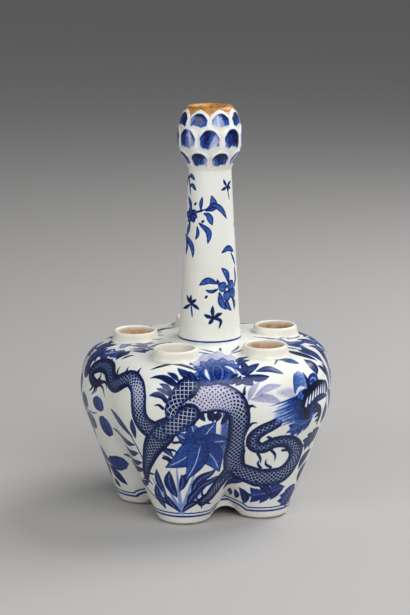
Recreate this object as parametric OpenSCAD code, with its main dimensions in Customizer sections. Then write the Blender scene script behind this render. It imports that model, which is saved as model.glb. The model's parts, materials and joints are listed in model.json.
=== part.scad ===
// Porcelain flower vase: five fused lobes with a foot and a spout each, a tall neck and a lotus-bud mouth.
// Millimetres, +Z up. The origin is the middle of the standing plane, on the axis of the neck.

/* [Body] */
// Bearing of the first lobe, from +X towards +Y
first_lobe_bearing = -112; // [-180:1:180]
// Height of the flat seat on the shoulder where the neck stands
shoulder_h = 101.5; // [94:0.5:112]
// Fall of the shoulder from the neck seat to its edge
shoulder_drop = 4; // [2:0.25:6]
// Rounding between the shoulder and the belly
shoulder_round = 18; // [12:0.5:22]
// Height where a lobe is widest
belly_h = 68; // [60:0.5:74]
// Radius of one lobe at its widest
lobe_r = 52; // [48:0.5:56]
// Radius of the circle of lobe axes at the widest height
lobe_ring_r = 28; // [24:0.5:32]
// Rounding of the widest line of a lobe
belly_round = 45; // [30:1:60]
// Thickness of the body's wall
wall = 4; // [3:0.25:5]
// Depth of the joint of the shoulder and the lobes under the shoulder's ceiling
cover_lap = 1.5; // [0.5:0.25:4]
// Slip joint left between luted pieces
slip_gap = 0.15; // [0.1:0.05:0.3]

/* [Feet] */
// Radius of a foot where it stands
foot_r = 15; // [12:0.5:17]
// Radius of the circle of foot centres
foot_ring_r = 40; // [36:0.5:44]
// Height of a foot ring
foot_h = 4; // [2.5:0.25:5]
// Height of the arches between the feet
arch_h = 6.5; // [5.5:0.25:8]
// Radius of the arches between the feet
arch_r = 9.5; // [9:0.25:12]
// Radius of the web that joins two feet above an arch
web_r = 36; // [34:0.5:38]
// Top of that web, inside the crease
web_h = 18; // [16.5:0.5:20]
// Height of the floor's underside
floor_h = 12; // [10:0.5:14]
// Thickness of the floor
floor_t = 4; // [3:0.25:5]

/* [Spouts] */
// Outer radius of a spout
spout_r = 13.2; // [11:0.1:15]
// Thickness of a spout's wall
spout_wall = 2.2; // [1.6:0.1:3]
// Radius of the circle of spout mouths
spout_ring_r = 45.2; // [40:0.2:48]
// Rise of a spout's rim over the seat of the neck
spout_rise = 2.5; // [1:0.25:8]
// Length of a spout from its rim to its end inside the body
spout_len = 15; // [13:0.5:20]
// Outward lean of a spout
spout_tilt = 2; // [0:0.5:6]
// Turn of the spouts from the middle of their lobes
spout_twist = -4; // [-8:0.5:8]

/* [Neck] */
// Height of the neck
neck_h = 101.5; // [85:0.5:120]
// Outer radius at the foot of the neck
neck_base_r = 18.75; // [17:0.25:21]
// Outer radius at the top of the neck
neck_top_r = 12.8; // [11.5:0.1:14.5]
// Thickness of the neck's wall
neck_wall = 3.5; // [2.5:0.25:4]

/* [Mouth] */
// Largest radius of the bulb
bulb_r = 18.5; // [17:0.1:21]
// Height of its largest radius above the neck
bulb_mid_h = 18.3; // [15:0.1:21]
// Height of the bulb without its lip
bulb_h = 33.5; // [30:0.5:37]
// Height of the lip
lip_h = 3.5; // [2.5:0.25:5]
// Radius of the opening in the lip
mouth_bore_r = 9.5; // [8:0.1:11]
// Rounding of the lip's edges
lip_round = 1.2; // [0.6:0.1:1.5]

/* [Petals] */
// Petals in one tier
petal_count = 8; // [6:1:10]
// Relief of a petal over the bulb
petal_relief = 0.9; // [0.5:0.1:1.5]
// Share of the room round a tier that its petals take
petal_fill = 0.86; // [0.7:0.01:0.92]
// Start of the lower tier above the neck
lower_start = 0.8; // [0.4:0.1:2]
// Height of the petals of the lower tier
lower_h = 11.2; // [9:0.1:12]
// Height of the petals of the middle tier
middle_h = 13.9; // [11:0.1:15]
// Height of the petals of the upper tier
upper_h = 6.4; // [5.5:0.1:8]
// Step between two tiers
tier_gap = 0.5; // [0.3:0.1:1]

/* [Hidden] */
$fn = 96;

// Colours of the glazed body, the bare clay, the blue relief and the iron lip
porcelain = [0.88, 0.89, 0.88];
bare_clay = [0.80, 0.77, 0.72];
cobalt = [0.16, 0.24, 0.55];
iron_brown = [0.68, 0.46, 0.24];

// Length by which a cutter runs past the surface it cuts
over = 10;

// The lobes lie on a pentagon
lobe_count = 5;
lobe_step = 360 / lobe_count;

// A lobe's own axis leans inwards from its foot to the belly
lobe_lean = atan((foot_ring_r - lobe_ring_r) / belly_h);
belly_s = belly_h / cos(lobe_lean);
lobe_flare = atan((lobe_r - foot_r) / belly_s);
belly_arc = [lobe_r - belly_round, belly_s + belly_round * tan(lobe_flare / 2)];
belly_cones = 6;
lobe_top_s = (shoulder_h + over) / cos(lobe_lean);

// The widest reach of the body bounds the cutters
body_reach = foot_ring_r + 2 * lobe_r;

// The shoulder falls from the neck seat to an arc that runs into the lobes
shoulder_mid_h = shoulder_h - shoulder_drop - shoulder_round;
shoulder_mid_r = foot_ring_r - shoulder_mid_h * tan(lobe_lean) + lobe_r / cos(lobe_lean) - shoulder_round;
seat_r = neck_base_r + slip_gap;
// The edge turns from the shoulder's slope to a slope that meets the lobes at an open angle
shoulder_end = 75;
outer_cones = 6;
inner_cones = 2;
shoulder_slope = atan(shoulder_drop / (shoulder_mid_r - seat_r));

// The shoulder is luted on the lobes along a level joint
cover_z = shoulder_h - shoulder_drop - wall - cover_lap;

// Radius of the creases between two lobes, for lobes of radius r on a ring of radius a
function crease_r(a, r) = a * cos(lobe_step / 2) + sqrt(r * r - pow(a * sin(lobe_step / 2), 2));

// The open middle of the body stays inside the creases
core_foot_r = web_r - wall;
core_belly_r = crease_r(lobe_ring_r, lobe_r) - 2 * wall;

// The bulb's outline is an arc from the top of the neck through its largest radius
neck_top_z = shoulder_h + neck_h;
bulb_swell = bulb_r - neck_top_r;
bulb_arc_r = (pow(bulb_mid_h, 2) + pow(bulb_swell, 2)) / (2 * bulb_swell);
bulb_arc = [bulb_r - bulb_arc_r, neck_top_z + bulb_mid_h];
lip_z = neck_top_z + bulb_h;

// Radius of the bulb at a height
function bulb_r_at(z) = bulb_arc[0] + sqrt(pow(bulb_arc_r, 2) - pow(z - bulb_arc[1], 2));

// The tiers stand on each other
middle_start = lower_start + lower_h + tier_gap;
upper_start = middle_start + middle_h + tier_gap;
petal_step = 360 / petal_count;
petal_strokes = 5;
front_bearing = -90;

// Places a shape that is turned about a lobe's own axis, for the lobe on +X
module on_lobe_axis() {
  translate([foot_ring_r, 0, 0]) rotate([0, -lobe_lean, 0]) rotate_extrude() children();
}

// One lobe: a cone that rounds into a tube at the belly, the rounding drawn in short cones
module lobe_body() {
  arc = [
    for (i = [0:belly_cones])
      let (turn = lobe_flare * (i / belly_cones - 1))
        belly_arc + belly_round * [cos(turn), sin(turn)]
  ];
  on_lobe_axis() polygon(concat(
    [[0, -over], [foot_r - over * tan(lobe_flare), -over]], arc, [[lobe_r, lobe_top_s], [0, lobe_top_s]]
  ));
}

// The hollow of one lobe, inside its wall: a plain cone under a plain tube
module lobe_hollow(inset) {
  cone_inset = inset / cos(lobe_flare);
  corner_s = belly_s + (cone_inset - inset) / tan(lobe_flare);
  on_lobe_axis() polygon([
    [0, -over], [foot_r - cone_inset - over * tan(lobe_flare), -over],
    [lobe_r - inset, corner_s], [lobe_r - inset, lobe_top_s], [0, lobe_top_s]
  ]);
}

// Everything under the shoulder, drawn in by an inset, with its edge rounded in a number of cones
module shoulder_dome(inset, cones) {
  arc = [
    for (i = [0:cones])
      let (turn = shoulder_slope + (shoulder_end - shoulder_slope) * i / cones)
        [shoulder_mid_r, shoulder_mid_h] + (shoulder_round - inset) * [sin(turn), cos(turn)]
  ];
  skirt_r = arc[cones][0] + (arc[cones][1] + over) / tan(shoulder_end);
  rotate_extrude() polygon(concat(
    [[0, shoulder_h - inset], [seat_r, shoulder_h - inset]], arc, [[skirt_r, -over], [0, -over]]
  ));
}

// The open middle of the body over the floor, drawn in by an inset
module body_core(inset) {
  translate([0, 0, floor_h])
    cylinder(r1 = core_foot_r - inset, r2 = core_belly_r - inset, h = belly_h - floor_h);
  translate([0, 0, belly_h])
    cylinder(r = core_belly_r - inset, h = shoulder_h - belly_h);
}

// The layer that the floor takes
module floor_layer() {
  translate([0, 0, floor_h]) cylinder(r = body_reach, h = floor_t);
}

// The skirt that closes the creases above the arches
module web_ring() {
  translate([0, 0, foot_h]) difference() {
    cylinder(r = web_r, h = web_h - foot_h);
    translate([0, 0, -over]) cylinder(r = core_foot_r, h = web_h + over);
  }
}

// The arch in one crease, on a bearing
module arch_cut(bearing) {
  rotate([0, 0, bearing])
    translate([foot_ring_r / 2, 0, arch_h - arch_r])
      rotate([0, 90, 0]) cylinder(r = arch_r, h = foot_ring_r);
}

// The share of the body that belongs to one lobe, on +X, between two heights
module lobe_wedge(low, high) {
  side_y = body_reach * tan(lobe_step / 2);
  translate([0, 0, low])
    linear_extrude(height = high - low)
      polygon([[0, 0], [body_reach, -side_y], [body_reach, side_y]]);
}

// The hollow body of one lobe between two heights
module body_shell(low, high) difference() {
  intersection() {
    lobe_wedge(low, high);
    shoulder_dome(0, outer_cones);
    union() {
      lobe_body();
      web_ring();
    }
  }
  intersection() {
    shoulder_dome(wall, inner_cones);
    union() {
      lobe_hollow(wall);
      body_core(0);
    }
  }
}

// Places a piece of lobe k, modelled on +X, on its bearing
module on_lobe(k) {
  rotate([0, 0, first_lobe_bearing + (k - 1) * lobe_step]) children();
}

// Places a spout, modelled with its rim at the origin, on the shoulder of the lobe on +X
module on_shoulder() {
  rotate([0, 0, spout_twist])
    translate([spout_ring_r, 0, shoulder_h + spout_rise])
      rotate([0, spout_tilt, 0]) children();
}

// The moulded wall of one lobe, from the foot to the joint under the shoulder
module lobe_section(k) color(porcelain) on_lobe(k) difference() {
  body_shell(foot_h, cover_z);
  arch_cut(lobe_step / 2);
  arch_cut(-lobe_step / 2);
}

// The shoulder of one lobe, open to its spout and to the neck
module shoulder_section(k) color(porcelain) on_lobe(k) difference() {
  body_shell(cover_z, shoulder_h + over);
  on_shoulder() translate([0, 0, -spout_len]) cylinder(r = spout_r + slip_gap, h = 2 * spout_len);
  translate([0, 0, cover_z - over]) cylinder(r = neck_base_r - neck_wall, h = shoulder_h);
}

// The ring under one lobe, which stands on the ground
module foot_ring(k) color(bare_clay) on_lobe(k) intersection() {
  difference() {
    lobe_body();
    lobe_hollow(wall);
  }
  translate([foot_ring_r - lobe_r, -lobe_r, 0]) cube([2 * lobe_r, 2 * lobe_r, foot_h]);
}

// The slab that closes the chamber; it lies on the inner walls of the legs
module base_floor() color(bare_clay) {
  intersection() {
    floor_layer();
    body_core(slip_gap);
  }
  for (k = [1:lobe_count]) on_lobe(k) intersection() {
    floor_layer();
    lobe_hollow(wall + slip_gap);
  }
}

// A flower tube with a rounded rim, let into the shoulder of lobe k
module spout(k) color(porcelain) on_lobe(k) on_shoulder() {
  rim = spout_wall / 2;
  rotate_extrude() {
    translate([spout_r - spout_wall, -spout_len]) square([spout_wall, spout_len - rim]);
    translate([spout_r - rim, -rim]) circle(r = rim);
  }
}

// The tapering neck on the seat of the shoulder
module neck() color(porcelain) translate([0, 0, shoulder_h]) rotate_extrude()
  polygon([
    [neck_base_r - neck_wall, 0], [neck_base_r, 0],
    [neck_top_r, neck_h], [neck_top_r - neck_wall, neck_h]
  ]);

// The swelling mouth, hollow along the same arc
module mouth_bulb() color(porcelain) rotate_extrude() difference() {
  intersection() {
    translate(bulb_arc) circle(r = bulb_arc_r);
    translate([0, neck_top_z]) square([2 * bulb_r, bulb_h]);
  }
  intersection() {
    translate(bulb_arc) circle(r = bulb_arc_r - neck_wall);
    translate([0, neck_top_z - over]) square([2 * bulb_r, bulb_h + 2 * over]);
  }
  translate([0, neck_top_z - over]) square([neck_top_r - neck_wall, bulb_h + 2 * over]);
}

// The brown lip with its rounded edges
module mouth_lip() color(iron_brown) {
  outer = bulb_r_at(lip_z);
  top_r = bulb_r_at(lip_z + lip_h);
  top_z = lip_z + lip_h - lip_round;
  rotate_extrude() {
    polygon([[mouth_bore_r, lip_z], [outer, lip_z], [top_r, top_z], [mouth_bore_r, top_z]]);
    translate([mouth_bore_r + lip_round, top_z])
      square([top_r - mouth_bore_r - 2 * lip_round, lip_round]);
    for (r = [mouth_bore_r + lip_round, top_r - lip_round]) translate([r, top_z]) circle(r = lip_round);
  }
}

// The outline of one petal: a pointed arch on a flat base, its two arcs drawn in short strokes
module petal_outline(w, h) {
  arch = (h * h + w * w / 4) / w;
  sweep = asin(h / arch);
  side = [
    for (i = [0:petal_strokes])
      let (a = sweep * i / petal_strokes)
        [w / 2 - arch + arch * cos(a), arch * sin(a)]
  ];
  polygon(concat(side, [for (i = [petal_strokes - 1:-1:0]) [-side[i][0], side[i][1]]]));
}

// One tier of relief petals on the bulb, each a pad of its own
module petal_tier(start, h, turn) {
  foot_z = neck_top_z + start;
  room = 2 * PI * min(bulb_r_at(foot_z), bulb_r_at(foot_z + h)) / petal_count;
  intersection() {
    rotate([0, 0, front_bearing + turn + petal_step / 2]) rotate_extrude() intersection() {
      difference() {
        translate(bulb_arc) circle(r = bulb_arc_r + petal_relief);
        translate(bulb_arc) circle(r = bulb_arc_r + slip_gap);
      }
      translate([bulb_r / 2, foot_z]) square([bulb_r, h]);
    }
    union() for (i = [0:petal_count - 1])
      rotate([0, 0, front_bearing + turn + i * petal_step])
        translate([0, 0, foot_z])
          rotate([90, 0, 90]) linear_extrude(height = 2 * bulb_r) petal_outline(room * petal_fill, h);
  }
}

module petals_lower() color(cobalt) petal_tier(lower_start, lower_h, petal_step / 2);
module petals_middle() color(cobalt) petal_tier(middle_start, middle_h, 0);
module petals_upper() color(cobalt) petal_tier(upper_start, upper_h, petal_step / 2);

for (k = [1:lobe_count]) {
  lobe_section(k);
  shoulder_section(k);
  foot_ring(k);
  spout(k);
}
base_floor();
neck();
mouth_bulb();
mouth_lip();
petals_lower();
petals_middle();
petals_upper();
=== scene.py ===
# %% [markdown]
# A porcelain tulipiere, painted in cobalt blue under a clear glaze. The body is five fused lobes
# on five little feet, and each lobe has a short spout for one flower. A tall neck in the middle
# ends in a lotus bud with three rows of moulded petals and an iron-brown lip.
# The solid model already holds every size, so the script starts by loading it as a fixed frame.

# %% Load the frame
import json
import math

import bmesh
import bpy
import numpy as np
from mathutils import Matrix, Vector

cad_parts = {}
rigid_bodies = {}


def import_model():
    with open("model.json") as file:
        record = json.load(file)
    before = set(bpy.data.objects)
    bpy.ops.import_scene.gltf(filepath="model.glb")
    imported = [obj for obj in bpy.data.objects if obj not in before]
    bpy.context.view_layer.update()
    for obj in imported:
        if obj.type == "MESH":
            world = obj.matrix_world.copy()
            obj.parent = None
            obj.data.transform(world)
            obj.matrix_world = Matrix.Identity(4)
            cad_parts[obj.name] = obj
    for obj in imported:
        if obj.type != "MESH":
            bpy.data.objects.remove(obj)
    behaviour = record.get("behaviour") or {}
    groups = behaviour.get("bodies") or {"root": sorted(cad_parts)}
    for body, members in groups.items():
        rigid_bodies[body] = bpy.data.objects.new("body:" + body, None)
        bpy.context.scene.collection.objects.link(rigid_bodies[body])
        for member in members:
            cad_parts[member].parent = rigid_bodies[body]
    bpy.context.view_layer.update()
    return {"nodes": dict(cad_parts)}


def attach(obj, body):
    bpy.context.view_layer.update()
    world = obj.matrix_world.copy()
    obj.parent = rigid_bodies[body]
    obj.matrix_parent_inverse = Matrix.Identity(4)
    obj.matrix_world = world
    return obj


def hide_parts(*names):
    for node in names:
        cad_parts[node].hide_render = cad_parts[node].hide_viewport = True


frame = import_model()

MM = 0.001
scene = bpy.context.scene
print("solids loaded:", len(frame["nodes"]))

# %% [markdown]
# The camera stands 1.2 m in front of the vase and looks down a little, which shows the tops of the
# spouts as flat ovals. A long lens keeps the feet and the lip nearly the same scale. The small turn
# puts the vase as far right of the middle as it stands in the picture.

# %% Camera
SHOT_DISTANCE = 1.2
SHOT_HEIGHT = 0.3776
SHOT_PITCH = 0.2123
SHOT_TURN = math.radians(0.136)
SHOT_LENS, SENSOR_WIDTH = 120.28, 36

camera_data = bpy.data.cameras.new("camera")
camera_data.lens = SHOT_LENS
camera_data.sensor_width = SENSOR_WIDTH
camera = bpy.data.objects.new("camera", camera_data)
camera.location = (0, -SHOT_DISTANCE, SHOT_HEIGHT)
camera.rotation_euler = (math.pi / 2 - SHOT_PITCH, 0, SHOT_TURN)
scene.collection.objects.link(camera)
scene.camera = camera
print("camera looks down by", round(math.degrees(SHOT_PITCH), 1), "degrees")

# %% [markdown]
# The floor is one large pale sheet, so that nothing competes with the painting. It could be a plane
# from the Add menu, but a grid made with bmesh is the same few faces and shows how every mesh below
# begins. It lies a hair under the feet, so that the two surfaces don't flicker into each other.

# %% Floor
FLOOR_HALF, FLOOR_DROP = 16, 0.0002
FLOOR_COLOUR, FLOOR_ROUGH = (0.44, 0.43, 0.42, 1), 0.75

floor_bm = bmesh.new()
bmesh.ops.create_grid(floor_bm, x_segments=4, y_segments=4, size=FLOOR_HALF)
floor_mesh = bpy.data.meshes.new("floor")
floor_bm.to_mesh(floor_mesh)
floor_bm.free()
pale_floor = bpy.data.materials.new("pale_floor")
pale_floor.use_nodes = True
floor_shader = pale_floor.node_tree.nodes["Principled BSDF"]
floor_shader.inputs["Base Color"].default_value = FLOOR_COLOUR
floor_shader.inputs["Roughness"].default_value = FLOOR_ROUGH
floor_mesh.materials.append(pale_floor)
floor = bpy.data.objects.new("floor", floor_mesh)
floor.location = (0, 0, -FLOOR_DROP)
scene.collection.objects.link(floor)
print("faces in the floor:", len(floor_mesh.polygons))

# %% [markdown]
# A glazed surface shows its shape by what it mirrors. Small lamps would give hard sparks, so the light
# comes from big soft panels: a key from the back right that throws the shadow to the front left, a
# broad one from the front right, and a weaker fill from the front left. A low even sky lifts the
# shadows, and the standard view keeps white glaze white and cobalt blue blue.

# %% Light
MIDDLE = Vector((0, 0, 0.1))
PANELS = [
    ("key_panel", (0.75, 0.45, 1.0), 0.8, 13),
    ("side_panel", (0.55, -1.1, 1.0), 1.3, 17),
    ("fill_panel", (-1.0, -1.0, 0.8), 0.8, 6.5),
]
SKY_COLOUR, SKY_STRENGTH = (0.95, 0.97, 1.0, 1), 0.2

for name, place, size, power in PANELS:
    data = bpy.data.lights.new(name, "AREA")
    data.size = size
    data.energy = power
    panel = bpy.data.objects.new(name, data)
    panel.location = place
    panel.rotation_mode = "QUATERNION"
    panel.rotation_quaternion = (MIDDLE - Vector(place)).to_track_quat("-Z", "Y")
    scene.collection.objects.link(panel)
world = bpy.data.worlds.new("studio")
world.use_nodes = True
sky = world.node_tree.nodes["Background"]
sky.inputs["Color"].default_value = SKY_COLOUR
sky.inputs["Strength"].default_value = SKY_STRENGTH
scene.world = world
scene.view_settings.view_transform = "Standard"
print("light panels:", len(PANELS))

# %% [markdown]
# The body was pressed from clay in five lobes. Each lobe is a cone that opens from a small round
# foot to a wide belly, and the cones run into each other, so the wall between two of them is a soft
# crease. Five cones could be joined with booleans, but that leaves a sharp seam. A formula keeps it
# soft: the wall's distance from the middle is the larger of the two neighbouring circles, rounded
# where they meet.

# %% Lobes and creases
LOBES = 5
LOBE_TURN = 360 / LOBES
FIRST_LOBE = -112.0
FOOT_RING, BELLY_RING, BELLY_H = 40.0, 28.0, 68.0
FOOT_R, LOBE_R, BELLY_EASE = 15.0, 51.1, 5.5
CREASE_LOW, CREASE_GROWTH, CREASE_H = 5.0, 3.0, 90
WEB_R, WEB_EASE = 36.0, 6.0


def smooth_min(a, b, k):
    """The smaller of a and b, rounded over k where they cross."""
    h = np.clip(0.5 + 0.5 * (b - a) / k, 0, 1)
    return b + (a - b) * h - k * h * (1 - h)


def smooth_max(a, b, k):
    return -smooth_min(-a, -b, k)


def lobe_radius(turn, z):
    """How far the wall stands from the middle, turn degrees from the centre of a lobe."""
    ring = FOOT_RING - (FOOT_RING - BELLY_RING) * z / BELLY_H
    size = smooth_min(FOOT_R + (LOBE_R - FOOT_R) * z / BELLY_H, LOBE_R, BELLY_EASE)
    reach = []
    for angle in (np.radians(np.abs(turn)), np.radians(LOBE_TURN - np.abs(turn))):
        across = np.maximum(size**2 - (ring * np.sin(angle)) ** 2, 0)
        reach.append(ring * np.cos(angle) + np.sqrt(across))
    crease = CREASE_LOW + CREASE_GROWTH * np.clip(z / CREASE_H, 0, 1)
    return smooth_max(smooth_max(*reach, crease), WEB_R, WEB_EASE)


print("from the middle to a lobe's belly:", round(float(lobe_radius(0.0, BELLY_H)), 1), "mm")

# %% [markdown]
# Between two feet the lower edge lifts into a little arch. Above the belly the wall bends over into
# the shoulder and runs almost flat to the seat of the neck. Every later step, the painting too, asks
# one function for a point of this wall by its bearing round the vase and its run up the wall.

# %% Arches, shoulder and the whole wall
ARCH_H, ARCH_R, ARCH_EASE = 6.5, 9.5, 0.8
GLAZE_LOW = 1.5
EDGE_H, EDGE_RUN, EDGE_END = 78.6, 31.0, math.radians(84)
BEND_STEPS = 16
SEAT_R, SEAT_H, SEAT_RUN = 16.5, 101.4, 38.2
BODY_RUN = EDGE_H + EDGE_RUN + SEAT_RUN


def foot_arch(turn):
    """Height of the little arch between two feet."""
    aside = WEB_R * np.sin(np.radians(LOBE_TURN / 2 - np.abs(turn)))
    round_top = np.sqrt(np.maximum(ARCH_R**2 - aside**2, 0))
    return smooth_max(ARCH_H - ARCH_R + round_top, GLAZE_LOW, ARCH_EASE)


def shoulder_bend(turn, run):
    """How far in and up the rounded shoulder has come; its bend starts and ends gently."""
    start = np.arctan(lobe_radius(turn, EDGE_H - 1) - lobe_radius(turn, EDGE_H))
    done = np.clip((run - EDGE_H) / EDGE_RUN, 0, 1)
    inward = upward = 0.0
    for part in (np.arange(BEND_STEPS) + 0.5) / BEND_STEPS:
        bend = start + (EDGE_END - start) * (3 - 2 * done * part) * (done * part) ** 2
        inward = inward + np.sin(bend) * done * EDGE_RUN / BEND_STEPS
        upward = upward + np.cos(bend) * done * EDGE_RUN / BEND_STEPS
    return inward, upward


def body_wall(bearing, run):
    """Point on the outside of the body, in millimetres."""
    turn = (bearing - FIRST_LOBE + LOBE_TURN / 2) % LOBE_TURN - LOBE_TURN / 2
    low = foot_arch(turn)
    z = low + np.clip(run, 0, EDGE_H) * (1 - low / EDGE_H)
    bent_in, bent_up = shoulder_bend(turn, run)
    r = lobe_radius(turn, z) - bent_in
    z = z + bent_up
    inward = np.clip((run - EDGE_H - EDGE_RUN) / SEAT_RUN, 0, 1)
    r = r + (SEAT_R - r) * inward
    z = z + (SEAT_H - z) * inward
    angle = np.radians(bearing)
    return np.stack([r * np.cos(angle), r * np.sin(angle), z], -1)


print("run of the wall from foot to neck:", round(BODY_RUN, 1), "mm")

# %% [markdown]
# Brush paths, widths and turned profiles are all given by a few points. A curve object could join
# them, but its points are hard to read back in a script. This short function gives the same kind of
# smooth curve as plain numbers, and it passes through every point.


# %% Smooth curves
def smooth_path(points, steps=8):
    """A smooth curve through the points, steps samples to each gap."""
    p = np.asarray(points, float)
    p = np.vstack([2 * p[0] - p[1], p, 2 * p[-1] - p[-2]])
    t = np.linspace(0, 1, steps, endpoint=False)[:, None]
    runs = []
    for a, b, c, d in zip(p, p[1:], p[2:], p[3:]):
        even = 2 * b + (c - a) * t
        runs.append((even + (2 * a - 5 * b + 4 * c - d) * t**2 + (3 * b - a - 3 * c + d) * t**3) / 2)
    return np.vstack([*runs, p[-2:-1]])


print("samples on a curve through three points:", len(smooth_path([(0, 0), (1, 1), (2, 0)])))

# %% [markdown]
# A painter needs a surface to paint on. A picture wrapped round the vase would be the usual way, but
# it needs a file and stretches over the lobes. Here the canvas is a fine net of points over the
# whole wall, about 0.4 mm apart, which later becomes the mesh itself. Each point keeps a few painted
# values, such as how much cobalt lies there, so the brushwork stays sharp.


# %% The canvas
class Canvas:
    """A net of surface points with painted values, rows upwards and columns round the vase."""

    VALUES = ("tone", "violet", "scales", "scale_along", "scale_across")

    def __init__(self, shape, bearings, runs):
        self.shape = shape
        self.bearings = np.asarray(bearings, float)
        self.runs = np.asarray(runs, float)
        self.points = shape(self.bearings[None, :], self.runs[:, None])
        self.paint = {name: np.zeros(self.points.shape[:2]) for name in self.VALUES}
        self.step = self.bearings[1] - self.bearings[0]
        self.turn = 0.0

    def columns(self, low, high):
        first = math.floor((low - self.bearings[0]) / self.step)
        return np.arange(first, math.ceil((high - self.bearings[0]) / self.step) + 1)

    def rows(self, low, high):
        return np.flatnonzero((self.runs >= low) & (self.runs <= high))

    def shift(self, point, right, up):
        """The place that lies right and up of point, both in millimetres."""
        b, r = point[0] + self.turn, point[1]
        turn = np.linalg.norm(self.shape(b + 0.5, r) - self.shape(b - 0.5, r))
        rise = np.linalg.norm(self.shape(b, r + 0.5) - self.shape(b, r - 0.5))
        return point[0] + right / turn, r + up / rise

    def apart(self, a, b):
        """How far b lies right of and above a, in millimetres."""
        middle = ((a[0] + b[0]) / 2, (a[1] + b[1]) / 2)
        one = self.shift(middle, 1, 1)
        return (b[0] - a[0]) / (one[0] - middle[0]), (b[1] - a[1]) / (one[1] - middle[1])

    def lay(self, window, cover, **values):
        """Lay opaque paint over the net where cover is above 0."""
        for name in ("tone", "violet", "scales"):
            old = self.paint[name][window]
            self.paint[name][window] = old + (values.get(name, 0) - old) * cover
        for name in ("scale_along", "scale_across"):
            if name in values:
                old = self.paint[name][window]
                self.paint[name][window] = np.where(cover > 0, values[name], old)


COLUMNS, ROWS = 216, 350
body_bearings = FIRST_LOBE - LOBE_TURN / 2 + np.arange(LOBES * COLUMNS) * LOBE_TURN / COLUMNS
body_canvas = Canvas(body_wall, body_bearings, np.linspace(0, BODY_RUN, ROWS + 1))
print("points on the body:", body_canvas.points.shape)

# %% [markdown]
# To paint a line, each point of the net has to know how far it lies from that line, how far along it
# and on which side. The line is cut into short straight steps, and each step is tried only on the
# part of the net close to it, so that hundreds of strokes stay quick.

# %% Distance to a path
FAR = 1e6
PAST_END = 9


def trace(canvas, path, reach):
    """For the net near a path: its window, distance, share along it, signed offset and its length."""
    path = path + [canvas.turn, 0]
    course = canvas.shape(path[:, 0], path[:, 1])
    steps = np.diff(course, axis=0)
    lengths = np.linalg.norm(steps, axis=1)
    done = np.append(0, np.cumsum(lengths))
    spread = math.degrees(reach / np.hypot(course[:, 0], course[:, 1]).min())
    margin = np.array([spread, 1.2 * reach])
    low, high = path.min(0) - margin, path.max(0) + margin
    columns, rows = canvas.columns(low[0], high[0]), canvas.rows(low[1], high[1])
    window = np.ix_(rows, columns % len(canvas.bearings))
    points = canvas.points[window]
    bearings = canvas.bearings[0] + columns[None, :] * canvas.step
    runs = canvas.runs[rows][:, None]
    gap = np.full(points.shape[:2], FAR)
    along, side = np.zeros_like(gap), np.ones_like(gap)
    for i in np.flatnonzero(lengths > 0):
        low = np.minimum(path[i], path[i + 1]) - margin
        high = np.maximum(path[i], path[i + 1]) + margin
        near_columns, near_rows = canvas.columns(low[0], high[0]), canvas.rows(low[1], high[1])
        part = (
            slice(near_rows[0] - rows[0], near_rows[-1] - rows[0] + 1),
            slice(near_columns[0] - columns[0], near_columns[-1] - columns[0] + 1),
        )
        ahead = points[part] - course[i]
        share = ahead @ steps[i] / lengths[i] ** 2
        near = np.clip(share, 0, 1)
        off = np.linalg.norm(ahead - near[..., None] * steps[i], axis=-1)
        share = np.clip(share, -PAST_END if i == 0 else 0, PAST_END if i == len(steps) - 1 else 1)
        past = (share - near) * lengths[i]
        closer = off < gap[part]
        gap[part][closer] = off[closer]
        along[part][closer] = ((done[i] + share * lengths[i]) / done[-1])[closer]
        way = path[i + 1] - path[i]
        left = way[0] * (runs[part[0]] - path[i][1]) - way[1] * (bearings[:, part[1]] - path[i][0])
        beside = np.sign(left) * np.sqrt(np.maximum(off**2 - past**2, 0))
        side[part][closer] = beside[closer]
    return window, gap, along, side, done[-1]


up_a_lobe = np.array([(FIRST_LOBE, run) for run in (0.0, 40.0, 80.0, 120.0)])
print("length of a line up a lobe:", round(float(trace(body_canvas, up_a_lobe, 1.0)[-1]), 1), "mm")

# %% [markdown]
# The neck was thrown on the wheel as a tapering tube. It is painted too, so its outside is a second
# canvas, with the height above the floor as its run.

# %% The wall of the neck
NECK_LOW, NECK_TOP = 101.0, 203.4
NECK_PROFILE = [
    (NECK_LOW, 18.95), (102.2, 18.7), (110.8, 18.0), (125, 17.1),
    (140.6, 16.2), (166, 14.6), (195.9, 13.1), (NECK_TOP, 12.75),
]
NECK_BACK = -270
NECK_COLUMNS, NECK_ROWS = 240, 240
neck_curve = smooth_path(NECK_PROFILE)


def neck_wall(bearing, z):
    """Point on the outside of the neck, in millimetres."""
    r = np.interp(z, neck_curve[:, 0], neck_curve[:, 1])
    angle = np.radians(bearing)
    return np.stack(np.broadcast_arrays(r * np.cos(angle), r * np.sin(angle), z), -1)


neck_bearings = NECK_BACK + np.arange(NECK_COLUMNS) * 360 / NECK_COLUMNS
neck_canvas = Canvas(neck_wall, neck_bearings, np.linspace(NECK_LOW, NECK_TOP, NECK_ROWS + 1))
print("points on the neck:", neck_canvas.points.shape)

# %% [markdown]
# A stroke of the brush is a path with a width that swells and thins. For every point of the net the
# canvas knows the distance to the path, so a point closer than half the width is painted. The same
# distance gives the darker rim where wet colour gathers, and the pale vein down the middle of a leaf.

# %% Brush strokes
SOFT = 0.45
RIM_WIDTH, RIM_EASE = 0.85, 0.4
VEIN_END, VEIN_WIDTH = 0.1, 0.3


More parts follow.
